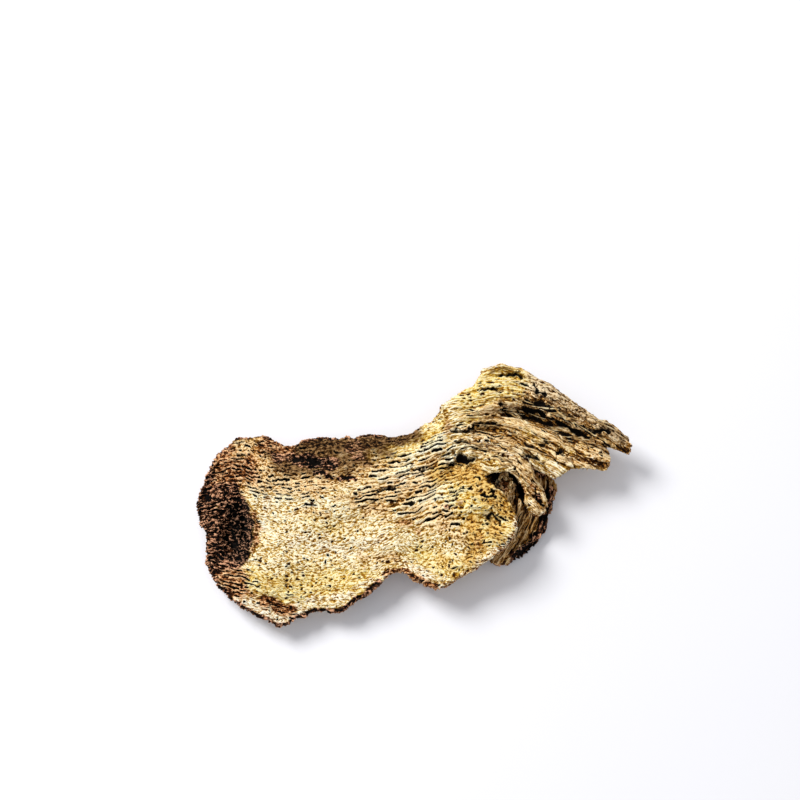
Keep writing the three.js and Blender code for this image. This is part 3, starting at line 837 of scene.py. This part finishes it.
# %% Carve the relief into a mesh
# part, height in millimetres, the middle that is left where it was, and where it is carved
RELIEF = [
    ("ridge", 0.7, 0.5, None),
    ("fibre", 0.14, 0.6, "wood"),
    ("fleck", 0.26, 0.5, "wood"),
    ("crumb", 0.7, 0.5, "rough"),
    ("net", -0.7, 0.5, "rough"),
    ("fold", 1.0, 0.6, "torn"),
    ("striation", 0.35, 0.5, "torn"),
    ("wall", 0.22, 0.2, None),
    ("row", 0.3, 0.0, None),
    ("slit", -0.7, 0.0, None),
    ("pore", -0.35, 0.0, "wood"),
]


def carve(piece):
    """Moves the points along their normals by the grain pattern."""
    tree = bpy.data.node_groups.new(f"{piece.name}_relief", "GeometryNodeTree")
    tree.interface.new_socket("Geometry", in_out="INPUT", socket_type="NodeSocketGeometry")
    tree.interface.new_socket("Geometry", in_out="OUTPUT", socket_type="NodeSocketGeometry")
    pattern = grain_pattern(tree)
    terms = []
    for part, height, middle, where in RELIEF:
        value = add(tree, MATH, {0: pattern[part], 1: middle}, operation="SUBTRACT")
        if where:
            value = add(tree, MATH, {0: value, 1: painted(tree, where)}, operation="MULTIPLY")
        terms.append((value, height * MM))
    normal = add(tree, "GeometryNodeInputNormal", {})
    calm = add(tree, MATH, {0: 1, 1: painted(tree, "crease_shade")}, operation="SUBTRACT")
    height = add(tree, MATH, {0: summed(tree, terms), 1: calm}, operation="MULTIPLY")
    height = add(tree, MATH, {0: height, 1: painted(tree, "sturdy")}, operation="MULTIPLY")
    offset = add(tree, VECTOR, {"Vector": normal, "Scale": height}, operation="SCALE")
    start = add(tree, "NodeGroupInput", {})
    moved = add(tree, "GeometryNodeSetPosition", {"Geometry": start, "Offset": offset})
    add(tree, "NodeGroupOutput", {0: moved})
    apply_modifier(piece, "relief", "NODES", node_group=tree)


print("deepest cut of one part:", max(abs(height) for _, height, _, _ in RELIEF), "mm")

# %% [markdown]
# ## Dried root wood and bark
#
# Root wood dried in the air is matt, with a little oil that darkens it. Its fibres stand out pale
# and the valleys between them stay dark, at every scale, so one number called tone says how high
# a place lies in the grain. Each zone has its own row of four colours, from valley to ridge, and
# the tone picks from it. Besides the grain's own colour, this paints shade into the valleys and
# highlights onto the ridges.

# %% Colours from valley to ridge
PALETTES = {
    "wood": ["#704402", "#c49530", "#e6cd8c", "#fdf4d4"],
    "tan": ["#1a0800", "#845012", "#cb994c", "#f8dcaa"],
    "dusty": ["#1a0a04", "#80592e", "#c2a06e", "#f2dcb4"],
    "yellow": ["#885206", "#cc9e30", "#e0c468", "#f7e8b4"],
    "ochre": ["#1c0800", "#844c08", "#c69030", "#eac678"],
    "cream": ["#4c2206", "#a87438", "#e6cc94", "#fdf6de"],
    "brown": ["#060200", "#341c06", "#62421f", "#9a774c"],
    "straw": ["#3a1e06", "#966c2e", "#d8b474", "#f8e6b8"],
    "russet": ["#0c0300", "#64300f", "#b27038", "#f0c492"],
    "bark": ["#000000", "#120703", "#6c4027", "#dca680"],
    # the near-black row for the crown's dark tissue and for the painted shade in pits and holes
    "rot": ["#000000", "#040201", "#301e14", "#a67c60"],
}
ZONE_ORDER = [zone for zone in PALETTES if zone != "wood"]
TONE_STOPS = [0.31, 0.43, 0.56, 0.70]
# painted shade: the near black inside slits and creases
GAP_SHADE_COLOUR = "#080402"
PORE_COLOUR = "#3a1c06"

# how much each pattern adds to the tone of clean wood, of torn wood and of rough bark, and where
# the tone starts. The tone rises with the relief, so it also paints shade into valleys and
# highlights onto ridges.
TONES = {
    "wood": ([("fibre", 0.15), ("fleck", 2.3), ("ridge", 0.4)], -0.825),
    "torn": ([("fold", 0.40), ("striation", 1.9), ("fleck", 1.1)], -1.21),
    "rough": ([("net", -0.42), ("crumb", 1.1), ("fleck", 1.4), ("patch", 0.5)], -0.87),
}
SLIT_TONES = ([("wall", 0.26), ("row", 1.0)], -0.03)
RAGGED = ([("patch", 1.5), ("fleck", 0.8)], -1.15)
RAGGED_EDGE = (0.2, 0.8)
print("rows of colours:", len(PALETTES))


# %% Material of the root
def palette(tree, tone, colours):
    """A row of four colours, picked by the tone."""
    ramp = add(tree, "ShaderNodeValToRGB", {0: tone})
    elements = ramp.color_ramp.elements
    elements[0].position = TONE_STOPS[0]
    elements[1].position = TONE_STOPS[-1]
    for position in TONE_STOPS[1:-1]:
        elements.new(position)
    for element, colour in zip(elements, colours):
        element.color = linear(colour)
    return ramp.outputs["Color"]


def mixed(tree, pattern, recipe, more=()):
    """The sum of the patterns that a recipe names, and of more terms."""
    parts, start = recipe
    return summed(tree, [(pattern[part], weight) for part, weight in parts] + list(more), start)


def root_material(name):
    """Matt dried root wood with painted zones, painted shade and highlights. Dull and dry, it
    hardly shines.
    """
    material = bpy.data.materials.new(name)
    material.use_nodes = True
    tree = material.node_tree
    pattern = grain_pattern(tree)
    tone = mixed(tree, pattern, TONES["wood"])
    for zone in ("torn", "rough"):
        inputs = {0: painted(tree, zone), 2: tone, 3: mixed(tree, pattern, TONES[zone])}
        tone = add(tree, MIX, inputs).outputs[0]
    tone = mixed(tree, pattern, SLIT_TONES, [(tone, 1)])
    # painted shade and highlight: the tone darkens the valleys and lightens the ridges
    colour = palette(tree, tone, PALETTES["wood"])
    layers = []
    for zone in ZONE_ORDER:
        ragged = mixed(tree, pattern, RAGGED, [(painted(tree, zone), 1)])
        low, high = RAGGED_EDGE
        amount = add(tree, RANGE, {0: ragged, 1: low, 2: high}, interpolation_type="SMOOTHSTEP")
        layers.append((amount, palette(tree, tone, PALETTES[zone])))
    layers.append((pattern["pore"], linear(PORE_COLOUR)))
    # painted shade: slits and creases, with the walls under the creases, turn near black
    layers.append((pattern["slit"], linear(GAP_SHADE_COLOUR)))
    layers.append((painted(tree, "crease_shade"), linear(GAP_SHADE_COLOUR)))
    for amount, above in layers:
        inputs = {0: amount, 6: colour, 7: above}
        colour = add(tree, MIX, inputs, data_type="RGBA", clamp_factor=True).outputs[2]
    surface = tree.nodes["Principled BSDF"]
    tree.links.new(colour, surface.inputs["Base Color"])
    surface.inputs["Roughness"].default_value = 0.85
    surface.inputs["Specular IOR Level"].default_value = 0.1
    bump = add(tree, "ShaderNodeBump", {"Height": tone, "Distance": 0.3 * MM, "Strength": 0.65})
    tree.links.new(bump.outputs[0], surface.inputs["Normal"])
    return material


# %% [markdown]
# ## The pieces
#
# All four pieces are made in the same steps: a fine copy, its creases and ridges, its coordinates
# along the grain, its zones, and the carving. The side roots reach a little way into the body, as
# they grew out of it, so that no joint shows. Thin skin gets shallow relief, so that nothing
# breaks through it.

# %% Where the side roots leave the body, in the plane
FORK = [(5.7, 17.2), (8.6, 6.2)]
FORK_INSIDE = [(6.0, 15.6), (8.4, 7.8)]
WEB = [(8.6, 6.6), (12.2, 5.0), (13.6, 3.6)]
SEAM = [(7.6, 11.3), (11.2, 11.1), (14.0, 10.6), (16.4, 9.8), (18.6, 8.6)]

# how a side root is pushed into its neighbours: along which line, from how near and up to how
# far, and which way, in millimetres
JOINS = {
    "split_side_root": [(FORK, 0.3, 1.6, (-1.0, 0)), (SEAM, 0.6, 1.8, (0, -0.8))],
    "curled_side_root": [
        (FORK, 0.3, 1.6, (-1.0, 0)), (SEAM, 0.6, 1.8, (0, 0.8)), (WEB, 0.6, 1.8, (-0.4, -0.7)),
    ],
    "lower_side_root": [(FORK, 0.3, 1.6, (-1.0, 0))],
}


def join_to_neighbours(points, joins):
    """Pushes the points near each line, the nearest ones all the way."""
    for line, near, far, push in joins:
        points[:, :2] += (1 - ease(distance_to_path(points, line), near, far))[:, None] * push


print("joins:", {node: len(joins) for node, joins in JOINS.items()})

# %% Measure the outline, the walls and the thickness
STEEP = 0.25
WALL_STRIDE = 3
FORK_CLEARANCE = 1.2
FACE_CELL = 0.4
FACE_MARGIN = 1.6
SKIN = 0.05
THICK = 9.0


def surface_of(piece):
    """The piece's surface in millimetres, to cast rays at."""
    faces = [face.vertices for face in piece.data.polygons]
    return BVHTree.FromPolygons(points_of(piece).tolist(), faces)


def outline_distance(points, normals):
    """The distance in the plane from each point to the piece's own outline."""
    is_wall = np.abs(normals[:, 2]) < STEEP
    is_wall &= distance_to_path(points, FORK) > FORK_CLEARANCE
    wall = points[is_wall][::WALL_STRIDE]
    tree = kdtree.KDTree(len(wall))
    for index, point in enumerate(wall):
        tree.insert((point[0], point[1], 0), index)
    tree.balance()
    return np.array([tree.find((p[0], p[1], 0))[2] for p in points])


def depth_below_face(points):
    """How far each point lies below the highest one of its small cell in the plane."""
    low = points[:, :2].min(axis=0) - FACE_MARGIN
    column, row = ((points[:, :2] - low) / FACE_CELL).astype(int).T
    face = np.full((row.max() + 1, column.max() + 1), -np.inf)
    np.maximum.at(face, (row, column), points[:, 2])
    return face[row, column] - points[:, 2]


def thickness(piece):
    """How thick the piece is under each point, straight in from its surface."""
    surface = surface_of(piece)
    points = points_of(piece)
    thick = np.full(len(points), THICK)
    for index, (point, normal) in enumerate(zip(points, normals_of(piece))):
        inward = Vector(-normal)
        distance = surface.ray_cast(Vector(point) + SKIN * inward, inward)[3]
        if distance is not None:
            thick[index] = distance
    return thick


# %% Cut the creases and raise the ridges
def shrivel(points, places, normals, thick, below, creases, ridges):
    """Moves the points, and gives how far in a crease each one lies, where shade is painted, and
    how far up a ridge.
    """
    is_top = ease(normals[:, 2], 0.1, 0.5)
    is_wall = 1 - ease(np.abs(normals[:, 2]), 0.4, 0.75)
    crease_shade = np.zeros(len(points))
    ridge = np.zeros(len(points))
    for path, radius, depth in creases:
        near = 1 - ease(distance_to_path(places, path) / radius, 0.3, 1)
        cut = is_top * near
        points[:, 2] -= np.minimum(depth, 0.5 * thick) * cut
        undercut = is_wall * near * ease(below, 0.3, 1.0)
        inward = np.minimum(0.5 * depth, 0.2 * thick) * undercut
        points[:, :2] -= inward[:, None] * normals[:, :2]
        # painted shade: the crease floors and the walls undercut beneath them are marked for near
        # black
        crease_shade = np.maximum.reduce([crease_shade, ease(cut, 0.3, 0.7), ease(undercut, 0.1, 0.6)])
    for path, radius, height in ridges:
        rise = is_top * (1 - ease(distance_to_path(places, path) / radius, 0.1, 1))
        points[:, 2] += height * rise
        ridge = np.maximum(ridge, rise)
    return crease_shade, ridge


# %% Cover a piece with its zones
BODY_REACH = (0.3, 4.0)
BROAD_ZONES = ("bark", "rot", "open", "nicked")
BROAD_CORE, FINE_CORE, EDGE_CORE = 0.5, 0.1, 0.6


def cover_zones(points, places, rim, side, wall, ridge, zones, edges, at_fork):
    """How strongly each zone covers each point. Close to the fork, the body's own zones go on."""
    own = 1 if zones is BODY_ZONES else ease(distance_to_path(points, FORK + WEB), *BODY_REACH)
    cover = {}
    for zone in ZONE_ORDER + ["open", "nicked"]:
        core = BROAD_CORE if zone in BROAD_ZONES else FINE_CORE
        cover[zone] = own * brushed(places, zones.get(zone, []), core)
        cover[zone] += (1 - own) * brushed(places, at_fork.get(zone, []), core)
    cover["russet"] = np.maximum(cover["russet"], 0.75 * wall)
    cover["bark"] = np.maximum(cover["bark"], 0.4 * wall)
    near_edge = np.maximum(1 - ease(rim, 0.2, 0.8), side)
    for zone, strokes in edges.items():
        cover[zone] = np.maximum(cover[zone], brushed(places, strokes, EDGE_CORE) * near_edge)
    cover["straw"] = np.maximum(cover["straw"], 0.7 * ridge)
    cover["open"] *= 1 - side
    cover["nicked"] *= 1 - side
    return cover


def roughness_of(cover, rim, torn):
    """How barky each point is: on bark, on rot and painted pit shade, on russet, and a little along
    the rim.
    """
    at_rim = (0.45 - 0.25 * torn) * (1 - ease(rim, 0.1, 0.9))
    rough = [cover["bark"], cover["rot"], 0.8 * cover["russet"], 0.4 * cover["brown"], at_rim]
    return np.clip(np.maximum.reduce(rough), 0, 1)


def torn_amount(points, cover, side, ridge, torn):
    """How torn each point is: less at the fork, on ridges and walls, and where skin is left."""
    torn = torn * ease(distance_to_path(points, FORK), 0.5, 5.0) * (1 - 0.7 * ridge)
    skin = np.maximum(0.55 * cover["yellow"], 0.7 * cover["dusty"])
    return torn * ((1 - np.clip(skin, 0, 0.8)) * (1 - 0.6 * side))


# %% Hold the carved piece within its bounds
THINNEST = 0.45
STURDY = 2.4
HIGH = 10.3
MOST_SAG = 0.25
MOST_TRIANGLES = 190000


def sturdiness(normals, thick):
    """How much of the relief each point takes: less on thin skin and on the underside."""
    return np.clip(thick / STURDY, 0.3, 1) * (1 - 0.6 * ease(-normals[:, 2], 0.3, 0.7))


def settle(piece, normals, before, lowest):
    """Keeps the tops above the undersides, the highest points low, and all of it on the table."""
    points = points_of(piece)
    height = points[:, 2]
    height = np.where(normals[:, 2] > LOOKS_UP, np.maximum(height, lowest), height)
    height = np.where(normals[:, 2] < -LOOKS_UP, np.minimum(height, before + MOST_SAG), height)
    points[:, 2] = np.maximum(height - 0.5 * np.maximum(height - HIGH, 0), 0)
    move_points(piece, points)


def triangles_in(piece):
    return sum(len(face.vertices) - 2 for face in piece.data.polygons)


def thin_out(piece):
    """Merges faces where the piece has too many, and sets it on the table again."""
    count = triangles_in(piece)
    if count > MOST_TRIANGLES:
        apply_modifier(piece, "fewer faces", "DECIMATE", ratio=MOST_TRIANGLES / count)
    points = points_of(piece)
    points[:, 2] = np.maximum(points[:, 2], 0)
    move_points(piece, points)


# %% Dress one piece
def dress(node, wood, grain, face_size, smoothing, torn, zones, creases,
          ridges=(), edges=None, at_fork=None):
    """Makes the piece that stands for one solid."""
    piece = fine_copy(node, f"{node}_grown", face_size, smoothing)
    points = points_of(piece)
    normals = normals_of(piece)
    thick = thickness(piece) if node in JOINS else np.full(len(points), THICK)
    join_to_neighbours(points, JOINS.get(node, []))
    before = points[:, 2].copy()
    lowest = before - thick * normals[:, 2] + np.minimum(THINNEST, 0.5 * thick)
    places = wandering(points)
    rim = outline_distance(points, normals)
    below = depth_below_face(points)
    crease_shade, ridge = shrivel(points, places, normals, thick, below, creases, ridges)
    move_points(piece, points)

    side = 1 - ease(np.abs(normals[:, 2]), 0.35, 0.7)
    side *= ease(distance_to_path(points, FORK_INSIDE), 0.8, 1.6)
    wall = side * ease(below, 0.3, 1.0)
    cover = cover_zones(points, places, rim, side, wall, ridge, zones, edges or {}, at_fork or {})
    rough = roughness_of(cover, rim, torn)
    torn = torn_amount(points, cover, side, ridge, torn)
    flow = [read_map(grain[0], points), read_map(grain[1], points), points[:, 2]]
    finish = {
        **cover,
        "flow": np.stack(flow, axis=1),
        "rough": rough,
        "wood": 1 - rough,
        "torn": np.maximum(torn, 0.5 * np.clip(cover["open"], 0, 1)),
        "split": 0.2 * torn,
        "crease_shade": crease_shade,
        "sturdy": sturdiness(normals, thick),
    }
    for name, values in finish.items():
        paint(piece, name, values)
    carve(piece)
    settle(piece, normals, before, lowest)
    thin_out(piece)
    piece.data.materials.append(root_material(wood))
    select_only(piece)
    bpy.ops.object.shade_smooth()
    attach(piece, "root")
    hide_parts(node)
    print(f"{piece.name}: {triangles_in(piece)} triangles")
    return piece


# %% Body
dress(
    "root_body", "dried_root_wood", slice_grain,
    face_size=0.30, smoothing=4, torn=0.0,
    zones=BODY_ZONES, creases=BODY_CREASES, edges=BODY_EDGES,
)

# %% Split side root
split_root = dress(
    "split_side_root", "dried_torn_root", slice_grain,
    face_size=0.24, smoothing=3, torn=1.0,
    zones=SPLIT_ZONES, creases=SPLIT_CREASES, ridges=SPLIT_RIDGES, at_fork=BODY_ZONES,
)

# %% Curled side root
curled_root = dress(
    "curled_side_root", "dried_straw_root", slice_grain,
    face_size=0.2, smoothing=3, torn=0.8,
    zones=CURL_ZONES, creases=CURL_CREASES, ridges=CURL_RIDGES, at_fork=BODY_ZONES,
)

# %% Lower side root
lower_root = dress(
    "lower_side_root", "dried_brown_root", lower_grain,
    face_size=0.24, smoothing=3, torn=0.7,
    zones=LOWER_ZONES, creases=LOWER_CREASES, ridges=LOWER_RIDGES,
)

# %% [markdown]
# ## Loose fibres
#
# Where the side roots tore and shrank, thick strands stand out along the folds, and single fibres
# stand out of the surface as fine pale threads. Each is a thin tube, a curve with a bevel made
# into a mesh. It follows the grain, lies on the surface, and lifts off it a little on the way.

# %% Trace fibres along the grain
FIBRE_STEP = 0.35
FIBRE_STEPS = (7, 24)
FIBRE_TURN = 7
FIBRE_WANDER = 4
PROBE = 0.4


def grain_direction(grain, places):
    """The unit direction of the grain at each place."""
    slope = np.stack([
        read_map(grain[0], places + [PROBE, 0]) - read_map(grain[0], places - [PROBE, 0]),
        read_map(grain[0], places + [0, PROBE]) - read_map(grain[0], places - [0, PROBE]),
    ], axis=1)
    return slope / np.maximum(np.linalg.norm(slope, axis=1, keepdims=True), 1e-6)


def grown_paths(grain, paths, seed):
    """Paths that start near the given ones and run along the grain."""
    random = np.random.default_rng(seed)
    grown = []
    for path, radius, count in paths:
        path = np.array(path, float)
        place = random.uniform(0, len(path) - 1, count)
        index = np.minimum(place.astype(int), len(path) - 2)
        start = path[index] + (path[index + 1] - path[index]) * (place - index)[:, None]
        start = start + random.uniform(-radius, radius, (count, 2))
        steps = random.integers(*FIBRE_STEPS, count)
        turn = np.radians(random.normal(0, FIBRE_TURN, count))
        tracks = [start]
        for _ in range(steps.max()):
            direction = grain_direction(grain, tracks[-1])
            turned = np.stack([
                direction[:, 0] * np.cos(turn) - direction[:, 1] * np.sin(turn),
                direction[:, 0] * np.sin(turn) + direction[:, 1] * np.cos(turn),
            ], axis=1)
            turn = turn * 0.9 + np.radians(random.normal(0, FIBRE_WANDER, count))
            tracks.append(tracks[-1] + FIBRE_STEP * turned)
        tracks = np.stack(tracks, axis=1)
        grown += [track[: step + 1] for track, step in zip(tracks, steps)]
    return grown


def drawn_paths(ridges):
    """The ridges' paths, rounded, cut into short steps and swayed."""
    smooth = []
    for path, *_ in ridges:
        path = np.array(path, float)
        for _ in range(2):
            corners = [0.75 * path[:-1] + 0.25 * path[1:], 0.25 * path[:-1] + 0.75 * path[1:]]
            path = np.concatenate([path[:1], np.stack(corners, axis=1).reshape(-1, 2), path[-1:]])
        length = np.concatenate([[0], np.cumsum(np.linalg.norm(np.diff(path, axis=0), axis=1))])
        at = np.arange(0, length[-1], FIBRE_STEP)
        path = np.stack([np.interp(at, length, side) for side in path.T], axis=1)
        smooth.append(2 * path - wandering(path))
    return smooth


# %% Lay fibres on a piece
SKY = 30
NO_GROUND = -9.0
FIBRE_JUMP = 0.7
FEWEST_POINTS = 5
FIBRE_CEILING = HIGH + 0.7
FIBRE_SINK = (-0.3, 0.5)
MOST_LIFT = 0.12


def lie_on(ground, path):
    """The longest stretch of a path without a jump, and the surface's height under it."""
    ends = [ground.ray_cast((x, y, SKY), (0, 0, -1))[0] for x, y in path]
    heights = np.array([end[2] if end else NO_GROUND for end in ends])
    jumps = np.flatnonzero(np.abs(np.diff(heights)) > FIBRE_JUMP) + 1
    edges = np.concatenate([[0], jumps, [len(heights)]])
    longest = np.diff(edges).argmax()
    stretch = slice(edges[longest], edges[longest + 1])
    return path[stretch], heights[stretch]


def lay_fibres(piece, name, slot, paths, widths, seed, material):
    """Makes one mesh of all the fibres on a piece."""
    random = np.random.default_rng(seed)
    ground = surface_of(piece)
    curve = bpy.data.curves.new(name, "CURVE")
    curve.dimensions = "3D"
    curve.bevel_depth = MM
    curve.bevel_resolution = 0
    curve.use_fill_caps = True
    tints = []
    for path in paths:
        path, heights = lie_on(ground, path)
        if len(path) < FEWEST_POINTS or heights[0] < 0:
            continue
        heights = np.convolve(np.pad(heights, 1, mode="edge"), [0.25, 0.5, 0.25], mode="valid")
        t = np.linspace(0, 1, len(path))
        wide = random.uniform(*widths)
        lift = random.uniform(*FIBRE_SINK) * wide
        lift = lift + random.uniform(0, MOST_LIFT) * np.sin(math.pi * t) ** 2
        heights = np.clip(heights + lift, wide, FIBRE_CEILING - wide)
        spline = curve.splines.new("POLY")
        spline.points.add(len(path) - 1)
        radii = wide * (0.35 + 0.65 * np.sin(math.pi * np.clip(0.08 + 0.84 * t, 0, 1)))
        for point, place, height, radius in zip(spline.points, path, heights, radii):
            point.co = (place[0] * MM, place[1] * MM, height * MM, 1)
            point.radius = radius
        points_in_tube = 4 * len(path) + 8
        tints.append(np.full(points_in_tube, random.uniform(0, 1)))
    fibres = bpy.data.objects.new(name, curve)
    bpy.context.scene.collection.objects.link(fibres)
    select_only(fibres)
    bpy.ops.object.convert(target="MESH")
    fibres = bpy.context.active_object
    paint(fibres, "tint", np.concatenate(tints))
    fibres.data.materials.append(material)
    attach(fibres, "root")
    print(f"{name}: {len(tints)} tubes, {len(fibres.data.vertices)} points")


# %% Material of the fibres
FIBRE_COLOURS = ["#4a2a0e", "#a07840", "#d0ac70", "#f0dcae"]
STAIN_CELL = 0.9


def fibre_material():
    """Dry plant fibre: pale, matt, a little darker where it was stained."""
    material = bpy.data.materials.new("dried_fibre")
    material.use_nodes = True
    tree = material.node_tree
    place = add(tree, "ShaderNodeTexCoord", {}).outputs["Object"]
    stain = add(tree, NOISE, {"Vector": place, "Scale": 1 / (STAIN_CELL * MM), "Detail": 2})
    tone = summed(tree, [(stain, 1.0), (painted(tree, "tint"), 0.25)], -0.06)
    surface = tree.nodes["Principled BSDF"]
    tree.links.new(palette(tree, tone, FIBRE_COLOURS), surface.inputs["Base Color"])
    surface.inputs["Roughness"].default_value = 0.7
    surface.inputs["Specular IOR Level"].default_value = 0.3
    return material


fibre = fibre_material()
print("material:", fibre.name)

# %% Strands and fibres of the side roots
# where fibres start: along a path, how far from it, and how many
SPLIT_FIBRES = [
    ([(8, 13), (16, 13.6), (24, 11), (34, 8)], 2.0, 26),
    ([(10, 17), (18, 16.6), (26, 14), (32, 11)], 1.6, 26),
    ([(12, 20), (20, 20), (30, 16), (39, 10)], 2.2, 18),
    ([(20, 9), (26, 5)], 1.0, 8),
]
CURL_FIBRES = [([(8, 9), (13, 8.4), (18, 6.4), (21.6, 3), (23.6, -1.5)], 1.6, 24)]
STRAND = (0.16, 0.22)
THREAD = (0.07, 0.12)
ROLLED_LIP = (0.3, 0.32)

# the root that they lie on, their name and slot, their paths, their radii and their seed
TUBES = [
    (split_root, "split_root_ridges", "split_root_wood", drawn_paths(SPLIT_RIDGES), STRAND, 1),
    (split_root, "split_root_fibres", "split_root_wood",
     grown_paths(slice_grain, SPLIT_FIBRES, 2), THREAD, 3),
    (curled_root, "curled_root_ridges", "curled_root_wood", drawn_paths(CURL_RIDGES), STRAND, 4),
    (curled_root, "curled_root_fibres", "curled_root_wood",
     grown_paths(slice_grain, CURL_FIBRES, 5), THREAD, 6),
    (lower_root, "lower_root_lip", "brown_root_bark", drawn_paths([[LIP]]), ROLLED_LIP, 7),
]
for tubes in TUBES:
    lay_fibres(*tubes, fibre)
